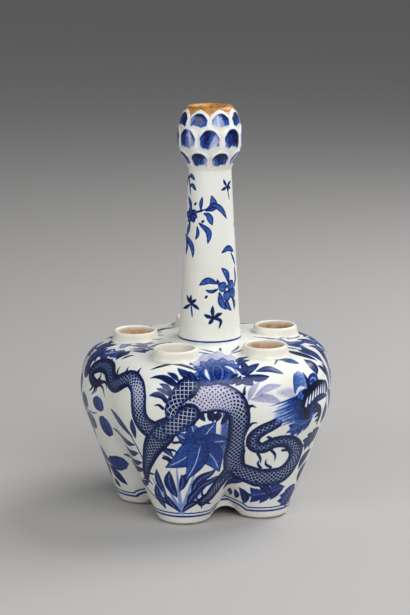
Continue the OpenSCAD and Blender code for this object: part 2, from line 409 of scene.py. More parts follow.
def stroke(canvas, points, widths, tone, violet=0.1, rim=0.0, fade=0.0, lean=0.0, vein=0.0, soft=SOFT):
    """One brush mark through points; widths are spread evenly along it, in millimetres."""
    path = smooth_path(points, 6) if len(points) > 2 else np.linspace(*points, 7)
    window, gap, along, side, _ = trace(canvas, path, max(widths) / 2 + 0.6 + soft)
    swell = smooth_path(np.array(widths, float)[:, None], 6)[:, 0]
    half = np.maximum(np.interp(along, np.linspace(0, 1, len(swell)), swell) / 2, 0.01)
    cover = np.clip((half - gap) / soft + 0.5, 0, 1) * np.clip(half / 0.2, 0, 1)
    shade = tone * (1 - fade * np.clip(along, 0, 1)) + lean * np.clip(side / half, -1, 1)
    shade = np.maximum(shade, rim * np.clip((gap - half + RIM_WIDTH) / RIM_EASE, 0, 1))
    if vein:
        ends = np.clip(along / VEIN_END, 0, 1) * np.clip((1 - VEIN_END - along) / VEIN_END, 0, 1)
        shade = shade * (1 - vein * ends * np.clip(1.2 - gap / VEIN_WIDTH, 0, 1))
    canvas.lay(window, cover, tone=np.maximum(shade, 0.03), violet=violet)


def line(canvas, points, width=0.5, tone=0.95, violet=0.2):
    """A thin line of even width with pointed ends."""
    stroke(canvas, points, [0.6 * width, width, width, width, 0.5 * width], tone, violet)


print("brush ready, edge softness", SOFT, "mm")

# %% [markdown]
# Nearly every plant on the vase is made of leaves, and a leaf is one stroke whose widths follow a
# pointed outline. Its middle can be pushed aside, which bends it. Loose leaves are given as a table
# with one look, and a fan is a number of them from one root.

# %% Leaves
POINTED = (0.1, 0.75, 1.0, 0.72, 0.0)


def leaf(canvas, root, tip, width, bend=0.0, tone=0.7, violet=0.1, rim=0.95, vein=0.6, form=POINTED):
    """A leaf from root to tip. bend pushes its middle aside by that share of its length."""
    right, up = canvas.apart(root, tip)
    middle = ((root[0] + tip[0]) / 2, (root[1] + tip[1]) / 2)
    middle = canvas.shift(middle, -bend * up, bend * right)
    widths = [share * width for share in form]
    stroke(canvas, [root, middle, tip], widths, tone, violet, rim, 0.1, 0.06, vein)


def leaves(canvas, places, **look):
    """Several leaves with one look: each is (root, tip, width, bend)."""
    for root, tip, width, bend in places:
        leaf(canvas, root, tip, width, bend, **look)


def fan(canvas, root, rays, width, **look):
    """Leaves that spring from one root: each is (angle from upright, length, bend)."""
    for angle, length, bend in rays:
        right, up = math.sin(math.radians(angle)), math.cos(math.radians(angle))
        leaf(canvas, root, canvas.shift(root, length * right, length * up), width, bend, **look)


print("widths along a pointed leaf:", POINTED)

# %% [markdown]
# Two lines run round the body just above the feet. At the seat of the neck lie loose sprays of
# slender leaves. A ring needs no path, because it is a few rows of the net all the way round. The
# front is painted step by step from here on, and what is laid later covers what is there.

# %% Rings and sprays
SPRAY = [(-75, 13, 0.2), (-50, 16, 0.2), (0, 18, 0.1), (50, 15, -0.2)]


def ring(canvas, run, width, tone):
    """A line all the way round at one run."""
    rows = canvas.rows(run - width - 1, run + width + 1)
    window = np.ix_(rows, np.arange(len(canvas.bearings)))
    cover = np.clip((width / 2 - np.abs(canvas.runs[rows] - run)) / SOFT + 0.5, 0, 1)
    canvas.lay(window, cover[:, None], tone=tone, violet=0.2)


def paint_sprays(canvas):
    for root in ((-150, 120), (-174, 120), (-14, 120)):
        fan(canvas, root, SPRAY, 3.4, tone=0.62, violet=0.5)


def tell_share(step, canvas):
    """Print how much of a canvas is painted so far."""
    print(step, "done, painted share:", round(float((canvas.paint["tone"] > 0.1).mean()), 3))


ring(body_canvas, 4.4, 1.1, 0.95)
ring(body_canvas, 6.6, 0.8, 0.8)
paint_sprays(body_canvas)
tell_share("rings and sprays", body_canvas)

# %% [markdown]
# At the foot of the front lobe stand sword leaves on pale stems, and above them spreads one big lily
# leaf with scratched veins. The stems are laid first and the leaves over them, as a painter works
# from the thin wash to the full brush.

# %% Sword leaves and lily leaf
BROAD = (0.6, 1.0, 0.84, 0.44, 0.0)


def paint_low_plants(canvas):
    """The tall sword leaves at the foot, and the big lily leaf above them."""
    for tip in ((-122, 30), (-113, 30), (-106, 40), (-97, 36), (-89, 30)):
        stem = [(-106.5, 7), ((tip[0] - 107) / 2, tip[1] / 2 + 2), tip]
        stroke(canvas, stem, [2.6, 2.2, 1.6, 0.5], 0.36, 0)
    stroke(canvas, [(-83.5, 74), (-83, 58), (-83.5, 42)], [2, 5, 5, 3], 0.5, 0.2, soft=1.5)
    leaves(canvas, [
        ((-116, 9), (-119.5, 25), 5.5, 0.1), ((-114, 19), (-117, 36), 4.5, 0.1),
        ((-108, 18), (-110, 36), 6.5, 0.12),
        ((-100, 21), (-86, 35), 6, 0.14), ((-104, 24), (-99, 36), 4.5, 0.1),
        ((-103, 12.5), (-91, 26), 5, 0.1),
        ((-98, 22), (-84, 29), 4.5, 0.1),
        ((-106, 8), (-95, 15), 4, 0.1), ((-107, 8), (-123, 17), 4, -0.1), ((-109, 9), (-115, 20), 4, 0.05),
        ((-106, 22), (-104, 34), 4, -0.1), ((-114, 52), (-107, 45), 4, 0.1),
        ((-112, 46), (-108, 40), 3, 0.1),
    ], tone=0.82, violet=0.35, rim=1.02, vein=0.55)
    for tip, width in (
        ((-105, 62), 12), ((-98, 69), 14), ((-87, 68), 15), ((-80.5, 53), 14), ((-112, 37.5), 15),
        ((-84.5, 31.5), 15), ((-102.5, 29), 13),
    ):
        leaf(canvas, (-94, 54), tip, width, 0.06, 0.66, 0, 0.84, 0.95, BROAD)
    leaves(canvas, [
        ((-92, 69), (-94, 76), 3.4, 0.1), ((-90, 69), (-91, 75), 3, -0.1), ((-88.5, 68), (-89, 75), 4, 0),
        ((-87, 68), (-85.5, 75), 4, 0), ((-85, 66), (-82, 73), 3.4, -0.1),
    ], tone=0.95, rim=1.05, vein=0)


paint_low_plants(body_canvas)
tell_share("low plants", body_canvas)

# %% [markdown]
# The left lobe carries round-ended leaves on thin stems, slender leaves that hang beside the crease,
# and a blossom on its shoulder. They are leaves with another outline: an outline is only a short list
# of widths from root to tip.

# %% Left lobe
OVAL = (0.0, 0.66, 0.87, 0.97, 1.0, 0.97, 0.87, 0.66, 0.0)
PETAL = (0.15, 0.5, 0.8, 1.0, 0.95, 0.5, 0.0)


def ovals(canvas, places, **look):
    """Round-ended leaves: each is (root, tip, width)."""
    for root, tip, width in places:
        leaf(canvas, root, tip, width, 0, rim=0.84, vein=0, form=OVAL, **look)


def paint_left_lobe(canvas):
    """Oval leaves and slender ones on the left lobe, and a blossom on its shoulder."""
    ovals(canvas, [
        ((-154.5, 61.5), (-155.5, 72), 11), ((-169, 60.5), (-168.5, 71), 10),
        ((-156.5, 44), (-154, 59), 10.5),
        ((-168, 47.5), (-166.5, 59), 10), ((-168, 27.5), (-152.5, 25), 10.5),
    ], tone=0.72, violet=0.3)
    ovals(canvas, [((-168, 79.5), (-168.5, 90.5), 9), ((-175, 68), (-174, 81), 8)], tone=0.84, violet=0.4)
    leaves(canvas, [
        ((-162, 12.5), (-170, 24.5), 7, 0), ((-168, 25), (-173, 36), 4.5, 0),
        ((-169, 9), (-171.5, 14.5), 4, 0),
        ((-128, 54.5), (-144, 67), 5.5, -0.05), ((-128, 49), (-150, 51.5), 5.5, 0.06),
        ((-125, 33), (-153, 32), 5.5, 0.05), ((-126, 54), (-126, 67), 4.5, 0),
        ((-172, 42), (-178, 54), 4, 0),
        ((-127, 44), (-142, 43), 4.4, 0.1), ((-124, 26), (-137, 22), 4, 0.1),
        ((-126, 38), (-139, 37), 3.6, 0.1), ((-178, 26), (-176, 39), 6, 0), ((-180, 58), (-184, 72), 6, 0),
        ((-182, 80), (-178, 92), 7, 0),
    ], tone=0.84, violet=0.5, rim=1.0, vein=0.25)
    line(canvas, [(-131, 60), (-126.5, 48), (-124, 38)], 0.9)
    line(canvas, [(-172, 60), (-163, 59.5), (-158, 60)], 0.8, 0.8)
    line(canvas, [(-121, 14), (-131, 22), (-137, 30)], 0.9)
    leaves(canvas, [
        ((-172, 98), (-181, 110), 6, 0.1), ((-174, 92), (-187, 103), 7, 0.1),
        ((-166, 115), (-153, 123), 4, 0.1),
        ((-162, 110), (-172, 120), 5, 0.1), ((-152, 110), (-140, 114), 4, 0.1),
        ((-157, 112), (-146, 118), 4, 0.1),
        ((-178, 106), (-190, 118), 7, 0.1), ((-210, 124), (-227, 124), 4.4, 0.1),
        ((-220, 121), (-238, 127), 5, 0.1),
    ], tone=0.66, violet=0.5, rim=0.9, vein=0.3)
    leaves(canvas, [
        ((-144, 112), (-144, 120), 4.5, 0.1), ((-149, 99), (-147, 105.5), 2.6, 0.1),
        ((-145, 99), (-142, 107), 2.4, 0.1),
    ], tone=0.92, violet=0.5, rim=1.0, vein=0)
    leaves(canvas, [
        ((-166, 89), (-171, 96), 8, 0), ((-164, 92), (-169.5, 101.5), 9, 0),
        ((-158.5, 93.5), (-164, 106), 11, 0),
        ((-152, 96), (-157.5, 108.5), 10, 0),
    ], tone=0.68, violet=0, rim=1.02, vein=0.2, form=PETAL)
    leaf(canvas, (-148.5, 97.5), (-152.5, 110), 6.5, 0, 0.95, 0.1, 1.02, 0)
    for path in ([(-163, 92), (-166.5, 99)], [(-159, 101), (-163, 104)], [(-156, 96), (-151, 98)]):
        stroke(canvas, path, [0.5, 1.6, 0.5], 0.06, 0)


paint_left_lobe(body_canvas)
tell_share("left lobe", body_canvas)

# %% [markdown]
# The chief figure is a dragon that winds over the two front lobes among flowers. Its body is one long
# stroke. Each point of that stroke also stores how far along and across the body it lies, for the
# scales. Where the body is pale, the scales shrink to dots on a lavender wash. Across the shoulder's
# bend that pale lavender is partly the painter's wash and partly a painted reflection of the light.

# %% Scaled hide
OUTLINE = 1.2
FLANK_WIDTH, FLANK_EASE = 2.4, 2.2


def hide(canvas, points, widths, pale=(0, 0), cell=2.8, outline=False):
    """A length of scaled body, or only its outline. pale runs along it: 1 is dots on lavender, -1 dark."""
    path = smooth_path(points, 8)
    window, gap, along, side, length = trace(canvas, path, max(widths) / 2 + 1)
    swell = smooth_path(np.array(widths, float)[:, None], 6)[:, 0]
    half = np.interp(along, np.linspace(0, 1, len(swell)), swell) / 2 - (0 if outline else OUTLINE)
    cover = np.clip((half - gap) / SOFT + 0.5, 0, 1)
    if outline:
        canvas.lay(window, cover, tone=1.1, violet=0.1)
        return
    # pale lavender with fading dots: partly a wash, partly a painted reflection of the light on the
    # shoulder's bend
    light = np.interp(along, np.linspace(0, 1, len(pale)), pale)
    dark, light = np.maximum(-light, 0), np.maximum(light, 0)
    flank = np.clip((gap - half + FLANK_WIDTH) / FLANK_EASE, 0, 1)
    ground = 0.23 + 0.01 * light + 0.3 * dark + (0.48 - 0.34 * light + 0.14 * dark) * flank
    canvas.lay(
        window, cover, tone=ground, violet=0.9 * light, scales=1 - 0.45 * light,
        scale_along=along * length / cell, scale_across=side / cell,
    )


def spikes(canvas, places, width=1.5, tone=1.05, violet=0.2):
    """Short pointed marks, such as fins and claws: each is (root, right, up, bend) in millimetres."""
    for root, right, up, bend in places:
        tip = canvas.shift(root, right, up)
        middle = canvas.shift(root, right / 2 - bend * up, up / 2 + bend * right)
        stroke(canvas, [root, middle, tip], [width, 0.9 * width, 0.5 * width, 0.0], tone, violet)


print("outline of the hide:", OUTLINE, "mm")

# %% [markdown]
# The dragon is laid out as lengths of hide: a raised limb, two legs, and the trunk with its tail. Each
# has a course over the wall, a list of widths, a list that says where it is pale or dark, and the
# size of its scales. Claws, fins and the spikes on the back are short pointed marks. The pale
# stretches of the raised limb and of the trunk's arch lie on the shoulder's bend, and are partly a
# painted reflection of the light.

# %% The dragon's body
LIMB = [
    (-152.5, 82), (-156, 79.5), (-160.5, 81), (-162, 85), (-160, 89), (-155, 91.5), (-149, 90.5),
    (-145.5, 87), (-142.5, 84), (-138, 84.5), (-130, 90), (-124.5, 87), (-122.5, 81.5),
    (-122, 75), (-121, 68.5), (-118, 63.5), (-112.5, 61), (-107, 65),
]
TRUNK = [
    (-112, 60), (-107.5, 64.5), (-103, 73), (-98, 80), (-93.5, 82), (-88, 83), (-83, 81.5), (-78.5, 77.5),
    (-76.5, 70), (-76.5, 60), (-76.5, 49), (-77, 40), (-75, 32), (-69, 28.5), (-60, 28), (-50, 29),
    (-45, 35), (-44.5, 43.5), (-50.5, 51), (-58, 52), (-63.5, 48.5), (-67.5, 49), (-68.5, 55),
    (-65, 60.5), (-59, 65),
]
# the pale stretches of the limb and of the trunk's arch are partly a painted reflection of the light on the
# shoulder's bend
DRAGON = [
    (LIMB, [2, 5.5, 7, 8.5, 9.5, 10, 10.5, 10.5, 10.5, 10.5, 10.5, 11, 11, 11, 12, 13, 14.5, 13],
     [-0.9, -0.8, -0.7, -0.7, -0.6, -0.6, -0.7, -0.7, -0.5, -0.2, 0.2, 0.8, 0.7, 0.1,
      -0.1, -0.1, 0, 0], 2.6),
    ([(-111, 60), (-116.5, 51), (-121, 41), (-124, 34), (-125.5, 29)], [15, 13, 10, 7, 5], [0, 0], 2.6),
    ([(-77, 31), (-86.5, 20.5), (-94, 14.5)], [12, 9.5, 7], [0, 0], 2.3),
    (TRUNK, [13, 11.5, 11, 13, 17, 17, 15.5, 13.5, 12.5, 12, 12.5, 13, 13.5, 13.5, 13, 12.5, 12,
             11, 10, 8.5, 8, 8, 8, 7.5, 6.5],
     [0, 0, 0.1, 0.7, 1, 1, 0.8, 0.2, 0, 0, 0, 0, 0, 0, 0, 0, 0, 0,
      -0.1, -0.2, -0.2, -0.2, -0.1, 0, 0], 2.8),
]
KNEES = [
    [(-102, 67), (-105.5, 75), (-104, 82.5), (-99, 90)],
    [(-107, 63.5), (-103, 68.5), (-98.5, 73.5)],
]


def paint_claws(canvas):
    spikes(canvas, [
        ((-124, 34), -8, -1, 0.2), ((-125, 31), -6.5, -6, 0.15), ((-125, 30), -1, -9, -0.1),
        ((-124.5, 31), 4, -8, -0.2), ((-124, 34), 7, -2, -0.2), ((-122, 38), 6, 2, 0.2),
        ((-92, 16), -2, 8, 0.2), ((-93, 15), -6, 4, 0.2), ((-93.5, 15), -7, -3, -0.2),
        ((-93, 14.5), -2, -6, -0.2), ((-92, 15), 4, -4, -0.2), ((-90, 17), 7, -1, 0.2),
        ((-157.5, 80), -4, -9, 0.2), ((-157.5, 80), 1, -7, 0.2), ((-156, 80), 10, -8, 0.25),
        ((-153, 81), 9, -3, 0.3), ((-159, 81), -5, -8, 0.2), ((-157, 80), 4.5, 9, -0.2),
    ], 2.0)


def paint_dragon(canvas):
    """Outlines first and scales after, so that the limbs run into the body without a line between."""
    paint_claws(canvas)
    for outline in (True, False):
        for part in DRAGON:
            hide(canvas, *part, outline)
    for knee in KNEES:
        bend = [(3 * a + b) / 4 for a, b in zip(knee[-1], knee[-2])]
        hide(canvas, [bend, knee[-1]], [13, 13, 12], outline=True)
        hide(canvas, knee, [12, 13, 11.5, 13, 12], (0.1, 0.1), 3.3)
    spikes(canvas, [
        ((-74, 83.5), 1.5, 5, 0.1), ((-73, 76), 6, -1, 0.1), ((-73, 71), 4, 6, 0.1),
        ((-71, 55), 6, 2, 0.2), ((-71, 49), 6, -1, -0.2), ((-72, 62), 6, 3, 0.2),
        ((-126, 94), 0, 5, 0.1), ((-133, 92), -2, 5, 0.1), ((-140, 89), -1, 6, 0.1),
        ((-59, 47), 4, -9, 0.15), ((-53, 46), 6, -4, 0.2), ((-62, 35), -2, 6, 0.2), ((-57, 35), -4, 7, 0.2),
        ((-65, 44), 3, -7, 0.1),
        ((-109, 50), 6, -3, 0.2), ((-106, 55), 7, -2, 0.2), ((-112, 44), 5, -4, 0.2),
        ((-62, 56), 3, -4, 0.2),
        ((-109, 80), -7, 2, -0.2), ((-110, 76), -6, 1, -0.2), ((-107, 84), -6, 4, -0.2),
    ], 1.7)


paint_dragon(body_canvas)
tell_share("dragon", body_canvas)

# %% [markdown]
# A full peony fills the shoulder above the dragon's back. It is seen from the side, so it is three
# fans of petals, one in front of the other: pale ones behind, blue ones before them, and short dark
# ones round the bud. Thin blades spring from its top, and two streaks are left white.

# %% Peony
BACK_PETALS = [(-40, 27, 0), (-18, 31, 0), (8, 32, 0), (34, 28, 0)]
BLUE_PETALS = [
    (-78, 15, -0.1), (-54, 20, -0.1), (-30, 24, -0.05), (-8, 25, 0), (16, 25, 0), (38, 23, 0.05),
    (58, 20, 0.1), (78, 16, 0.1),
]
INNER_PETALS = [(-62, 13, 0.15), (-38, 15, 0.1), (38, 15, -0.1), (62, 13, -0.15)]


def paint_peony(canvas):
    """A full flower seen from the side: pale petals behind, blue ones in front, a dark bud inside."""
    look = dict(violet=0.8, rim=0.36, vein=0, form=PETAL)
    fan(canvas, (-86, 100), BACK_PETALS, 12, tone=0.28, **look)
    look = dict(violet=0.0, rim=0.86, vein=0.25, form=PETAL)
    fan(canvas, (-86, 94), BLUE_PETALS, 9.5, tone=0.56, **look)
    fan(canvas, (-86, 92), INNER_PETALS, 8, tone=0.66, **look)
    leaf(canvas, (-86, 90), (-86, 108), 8.4, 0, 0.58, 0, 1.0, 0, OVAL)
    leaf(canvas, (-86, 92), (-86, 104), 4, 0, 0.78, 0, 0.98, 0, OVAL)
    for path in ([(-92, 101), (-91.5, 97), (-90, 93)], [(-81, 103), (-79, 101), (-77, 99)]):
        stroke(canvas, path, [1.0, 2.0, 0.5], 0.04, 0)
    for path in (
        [(-84, 128), (-92, 132.5), (-101, 136)], [(-88, 126), (-97, 129), (-104, 131)],
        [(-79, 130), (-77, 137)],
        [(-70, 127), (-62, 132), (-50, 138)], [(-72, 124), (-64, 127.5), (-56, 130)],
    ):
        stroke(canvas, path, [0.4, 1.6, 1.4, 0.2], 0.8, 0.6)


print("petals of the peony:", len(BACK_PETALS + BLUE_PETALS + INNER_PETALS))

# %% [markdown]
# Leaves stand to both sides of the peony, and thin dark ones lick up beside the dragon's knee. The
# leaves on the left go down before the flower, because its petals lie over them, and those on the
# right after it.


# %% Shoulder
def paint_shoulder(canvas):
    """Leaves round the peony, and the flames beside the dragon's knee."""
    leaves(canvas, [
        ((-104, 92), (-111, 98), 3, -0.1), ((-106, 85), (-113, 90), 2.6, -0.1),
        ((-108, 81), (-117, 82.5), 3.4, -0.15), ((-107, 83), (-114, 87), 2.2, -0.1),
    ], tone=0.92, rim=1.0, vein=0.2)
    flame = [(-104, 89), (-110.5, 93.5), (-115, 94), (-118, 92.5)]
    stroke(canvas, flame, [1.5, 4, 4, 2.4, 0.3], 0.9, 0, 1.0)
    stroke(canvas, [(-120, 98.5), (-115.5, 104), (-111.5, 109)], [0.4, 2.8, 3.2], 1.0)
    stroke(canvas, [(-111.5, 109), (-103.5, 106), (-96, 100)], [3.2, 2.8, 0.4], 1.0)
    leaves(canvas, [
        ((-96, 96), (-107, 103), 4.5, 0.1), ((-96, 95), (-105, 98), 4, 0.05),
        ((-97, 92), (-100, 100), 4, 0),
        ((-98, 107), (-102, 112), 4, 0),
    ], tone=0.86, rim=1.0, vein=0.3)
    paint_peony(canvas)
    leaves(canvas, [
        ((-72, 94), (-75, 101), 4, 0), ((-72, 94), (-69.5, 109), 4.4, 0),
        ((-72, 94), (-61, 105.5), 4.6, 0.05),
        ((-72, 94), (-60.5, 93), 4.8, -0.08), ((-72, 94), (-69.5, 87.5), 3.4, 0),
        ((-72, 93.5), (-78, 88.5), 3.4, 0),
        ((-76, 91), (-70.5, 88), 3, 0.1), ((-66, 97), (-53, 93.5), 5, 0.2),
        ((-74, 104), (-63, 112), 4.4, 0.1),
        ((-74, 108), (-60, 118), 3.6, 0.1),
    ], tone=0.84, rim=1.0, vein=0.3)
    for path, width, tone in (
        ([(-79.5, 102), (-76.5, 96)], 1.6, 0.04), ([(-76, 99), (-74, 92.5)], 1.6, 0.04),
        ([(-74.5, 94), (-79.5, 89.5)], 2.6, 0.95), ([(-76.5, 95.5), (-80.5, 92.5)], 2.2, 0.95),
    ):
        stroke(canvas, path, [0.3 * width, width, 0.3 * width], tone, 0)
    leaf(canvas, (-48, 107), (-40, 98), 6, 0.1, 0.6, 0.3, 0.9, 0)
    stroke(canvas, [(-54, 102), (-46.5, 108), (-39, 104)], [0.4, 1.2, 1.0, 0.3], 0.9, 0.3)
    # pale lavender leaves on the shoulder's bend, right of the trunk: partly leaves, partly a painted
    # reflection of the light
    leaves(canvas, [
        ((-72.5, 79), (-66, 90), 3.6, 0.1), ((-69, 82), (-56, 87), 4, 0.1),
        ((-71, 80), (-57, 77), 5, 0.1),
    ], tone=0.34, violet=1.0, rim=0.38, vein=0)


paint_shoulder(body_canvas)
tell_share("shoulder", body_canvas)

# %% [markdown]
# On the right lobe grow toothed leaves low down, and long leaves sweep over its shoulder on thin
# stems. A toothed leaf is a plain leaf with short triangular strokes down both sides, which is
# quicker than drawing its whole outline.


# %% Right lobe
def toothed_leaf(canvas, root, tip, width, tone=0.74, violet=0.3):
    """A broad leaf with pointed teeth down both sides."""
    right, up = canvas.apart(root, tip)
    long = math.hypot(right, up)
    for share, reach in ((0.15, 0.7), (0.4, 0.8), (0.62, 0.6)):
        for hand in (-1, 1):
            start = canvas.shift(root, share * right, share * up)
            end = canvas.shift(
                start,
                0.26 * right - hand * reach * width * up / long,
                0.26 * up + hand * reach * width * right / long,
            )
            stroke(canvas, [start, end], [0.6 * width, 0.55 * width, 0.0], tone, violet)
    leaf(canvas, root, tip, 0.8 * width, 0, tone, violet, 0, 0.45)


def paint_right_lobe(canvas):
    """Toothed leaves low down, and long leaves that sweep over the right shoulder."""
    toothed_leaf(canvas, (-45, 20), (-66, 14.5), 9)
    toothed_leaf(canvas, (-36, 19), (-44, 6), 9)
    toothed_leaf(canvas, (-39.5, 64.5), (-54, 57.5), 8, 0.66, 0.1)
    toothed_leaf(canvas, (-29, 54), (-42, 45), 8, 0.84, 0.7)
    leaves(canvas, [
        ((-81, 16), (-68, 23), 5.5, 0.15), ((-70, 17), (-65, 7), 5.5, 0.15), ((-75, 15), (-73, 9), 3, 0),
        ((-38, 30), (-30, 41), 7, 0.15), ((-34, 20), (-29, 33), 7, 0.15), ((-30, 10), (-24, 23), 5, 0.15),
        ((-62, 24), (-52, 14), 4, 0.1), ((-85, 23), (-73, 30), 4, 0.15), ((-72, 15), (-70, 8), 3.5, 0.1),
    ], tone=0.88, violet=0.4, rim=0.98, vein=0.3)
    for path in (
        [(-8, 112), (-15, 100), (-20, 84), (-18, 68), (-12, 58), (-8, 44), (-4, 36)],
        [(-20, 80), (-26, 74), (-29, 66)],
        [(-14, 62), (-20, 58), (-24, 50)], [(4, 98), (6, 84), (3, 72), (7, 62), (5, 44), (6, 30)],
        [(-7, 42), (-12, 34)],
    ):
        line(canvas, path, 1.0, 0.9)
    leaves(canvas, [
        ((7, 110), (2, 97), 9, 0.1), ((12, 103), (8, 88), 11, 0.1), ((-15.5, 107), (-19, 91), 11, -0.1),
        ((-21.5, 92), (-20.5, 76), 8, 0.05), ((-6, 97), (-5, 75), 16, 0.05),
        ((-28, 92.5), (-22, 83), 4, 0.1),
        ((-4, 90), (3, 72), 8, 0.05), ((-20, 109), (-23, 98), 5, -0.1),
        ((-24, 77), (-21, 62), 8, 0.1),
        ((-28, 70), (-30, 57), 7, 0.1), ((-17, 74), (-14, 54), 10, 0.1), ((2, 72), (-6, 50), 9, 0.1),
        ((-8, 60), (-18, 36), 7, 0.1), ((8, 62), (3, 36), 7, 0.1), ((-4, 38), (-12, 14), 7, 0.1),
        ((6, 32), (2, 12), 6, 0.1), ((-22, 56), (-26, 42), 6, 0.1),
    ], tone=0.84, violet=0.15, rim=1.02, vein=0.35)
    stroke(canvas, [(-6, 118), (-10, 112), (-14, 104.5)], [8, 9, 7, 2], 0.55, 0, soft=1.5)
    leaf(canvas, (-9, 113), (-12, 108), 4, 0, 0.84, 0, 1.0, 0, OVAL)
    leaves(canvas, [
        ((24, 106), (16, 98), 4, 0.1), ((-14, 122), (-4, 130), 5, 0), ((-26, 122), (-32, 130), 5, 0),
        ((4, 116), (18, 108), 5, 0.1), ((-22, 118), (-20, 108), 3, 0.1),
    ], tone=0.5, violet=0.7, rim=0.8, vein=0.3)
    stroke(canvas, [(-28, 114), (-28.5, 104), (-24.5, 95)], [2, 6.5, 5.5, 0.3], 0.9, 0.4)


paint_right_lobe(body_canvas)
tell_share("right lobe", body_canvas)

# %% [markdown]
# The head comes last, because nothing covers it: a brushed mane, an ear, an eye, and bared teeth. The
# mane is one soft wash with streaks drawn through it, dark and pale in turn. The teeth are short
# strokes with no colour in them, so they show the white glaze.

# %% The dragon's head
HAIRS, TEETH, WHISKERS = 11, 8, 4


def paint_head(canvas):
    """The head: a brushed mane, a face with an ear, an eye and a row of bared teeth."""
    # a pale lavender wash above the mane, on the shoulder's bend: partly a wash, partly a painted
    # reflection of the light
    stroke(canvas, [(-58, 83), (-53, 82), (-48, 79)], [2, 6, 6], 0.26, 0.95, soft=2.0)
    stroke(canvas, [(-42, 72), (-49, 71), (-57, 70)], [15, 16, 14, 9], 0.66, 0, 0, 0.5, soft=3.0)
    for i in range(HAIRS):
        root, tip = (-42.5, 79 - 1.4 * i), (-63 + 2.8 * (i % 3) + 0.3 * i, 75.5 - 1.3 * i)
        middle = (-51, (root[1] + tip[1]) / 2 + 1.2)
        stroke(canvas, [root, middle, tip], [2.0, 1.7, 1.1, 0.2], 0.92, 0, 0, 0.45)
        root, tip = (-46, 77.6 - 1.3 * i), (-58 + 1.6 * (i % 2), 75 - 1.2 * i)
        stroke(canvas, [root, (-51, (root[1] + tip[1]) / 2 + 1), tip], [0.2, 0.5, 0.2], 0.36, 0)
    leaf(canvas, (-43.5, 64), (-41.5, 79), 6, 0.1, 0.98, 0.3, 1.05, 0)
    leaf(canvas, (-33.5, 100), (-33, 88), 9, 0.1, 0.9)
    leaf(canvas, (-46.5, 76), (-44.5, 94), 11, 0.04, 0.5, 0, 1.0, 0, OVAL)
    stroke(canvas, [(-43, 78), (-41.5, 84), (-42, 92)], [1.4, 2.2, 0.8], 1.02, 0)
    stroke(canvas, [(-49.5, 80.5), (-47, 83.5), (-43.8, 83)], [1.2, 2.2, 1.0], 0.1, 0)
    leaf(canvas, (-46, 80), (-43, 82), 3.2, 0, 0.95, 0.1, 0, 0, OVAL)
    leaf(canvas, (-41.5, 84.5), (-33, 87.5), 8, 0, 0.7, 0, 1.02, 0, OVAL)
    nostril = [(-40, 84.6), (-37, 84.4), (-35.4, 86), (-37.4, 87.6), (-39.4, 86.6)]
    stroke(canvas, nostril, [0.6, 0.8, 0.8, 0.6], 0.26, 0)
    stroke(canvas, [(-45.5, 74), (-41, 79), (-35, 81), (-27, 79.5)], [5, 8, 8.5, 7], 1.05, 0.1)
    for i in range(TEETH):
        root = (-44.5 + 2.2 * i, 72.6 + 4.6 * math.sin(0.3 * i))
        stroke(canvas, [root, canvas.shift(root, 2.2, 5.2)], [1.7, 1.4, 0.3], 0.03, 0)
    stroke(canvas, [(-43, 70.5), (-39, 74), (-34, 75), (-28, 74.5)], [1, 3, 3.6, 2], 0.86, 0.2, 1.0)
    stroke(canvas, [(-38, 72.5), (-34, 66), (-34.5, 58)], [1.6, 4.4, 3.6, 0.6], 0.95, 0.4)
    for i in range(WHISKERS):
        root = (-37 + i, 71 - 3 * i)
        stroke(canvas, [root, canvas.shift(root, -4.5, -1.5)], [2.2, 1.8, 0], 0.95, 0.4)


paint_head(body_canvas)
tell_share("head", body_canvas)

# %% [markdown]
# Nothing is known of the far side. Vases like this often repeat a picture, so the same recipes are
# painted once more, half a turn further round.

# %% The far side
FRONT = [
    paint_sprays, paint_low_plants, paint_left_lobe, paint_dragon, paint_shoulder,
    paint_right_lobe, paint_head,
]

body_canvas.turn = 180
for recipe in FRONT:
    recipe(body_canvas)
tell_share("both sides", body_canvas)

# %% [markdown]
# The neck carries loose sprays: a blossom high on the left and one low on the right, slender leaves
# that bend away from them, and small stars of a few short strokes in the gaps. A line runs round its
# foot. It is painted as the body was, with the same brush.


# %% Sprays on the neck
def star(canvas, middle, tips, width=1.7):
    """A few short pointed strokes out of one middle."""
    for tip in tips:
        leaf(canvas, middle, tip, width, 0.05, 1.0, 0.1, 0, 0)


def blades(canvas, marks, tone=0.6):
    """Slender curved leaves: each is (path, width)."""
    for path, width in marks:
        stroke(canvas, path, [0.3 * width, 0.8 * width, width, 0.7 * width, 0], tone, 0, 1.0, 0.2)


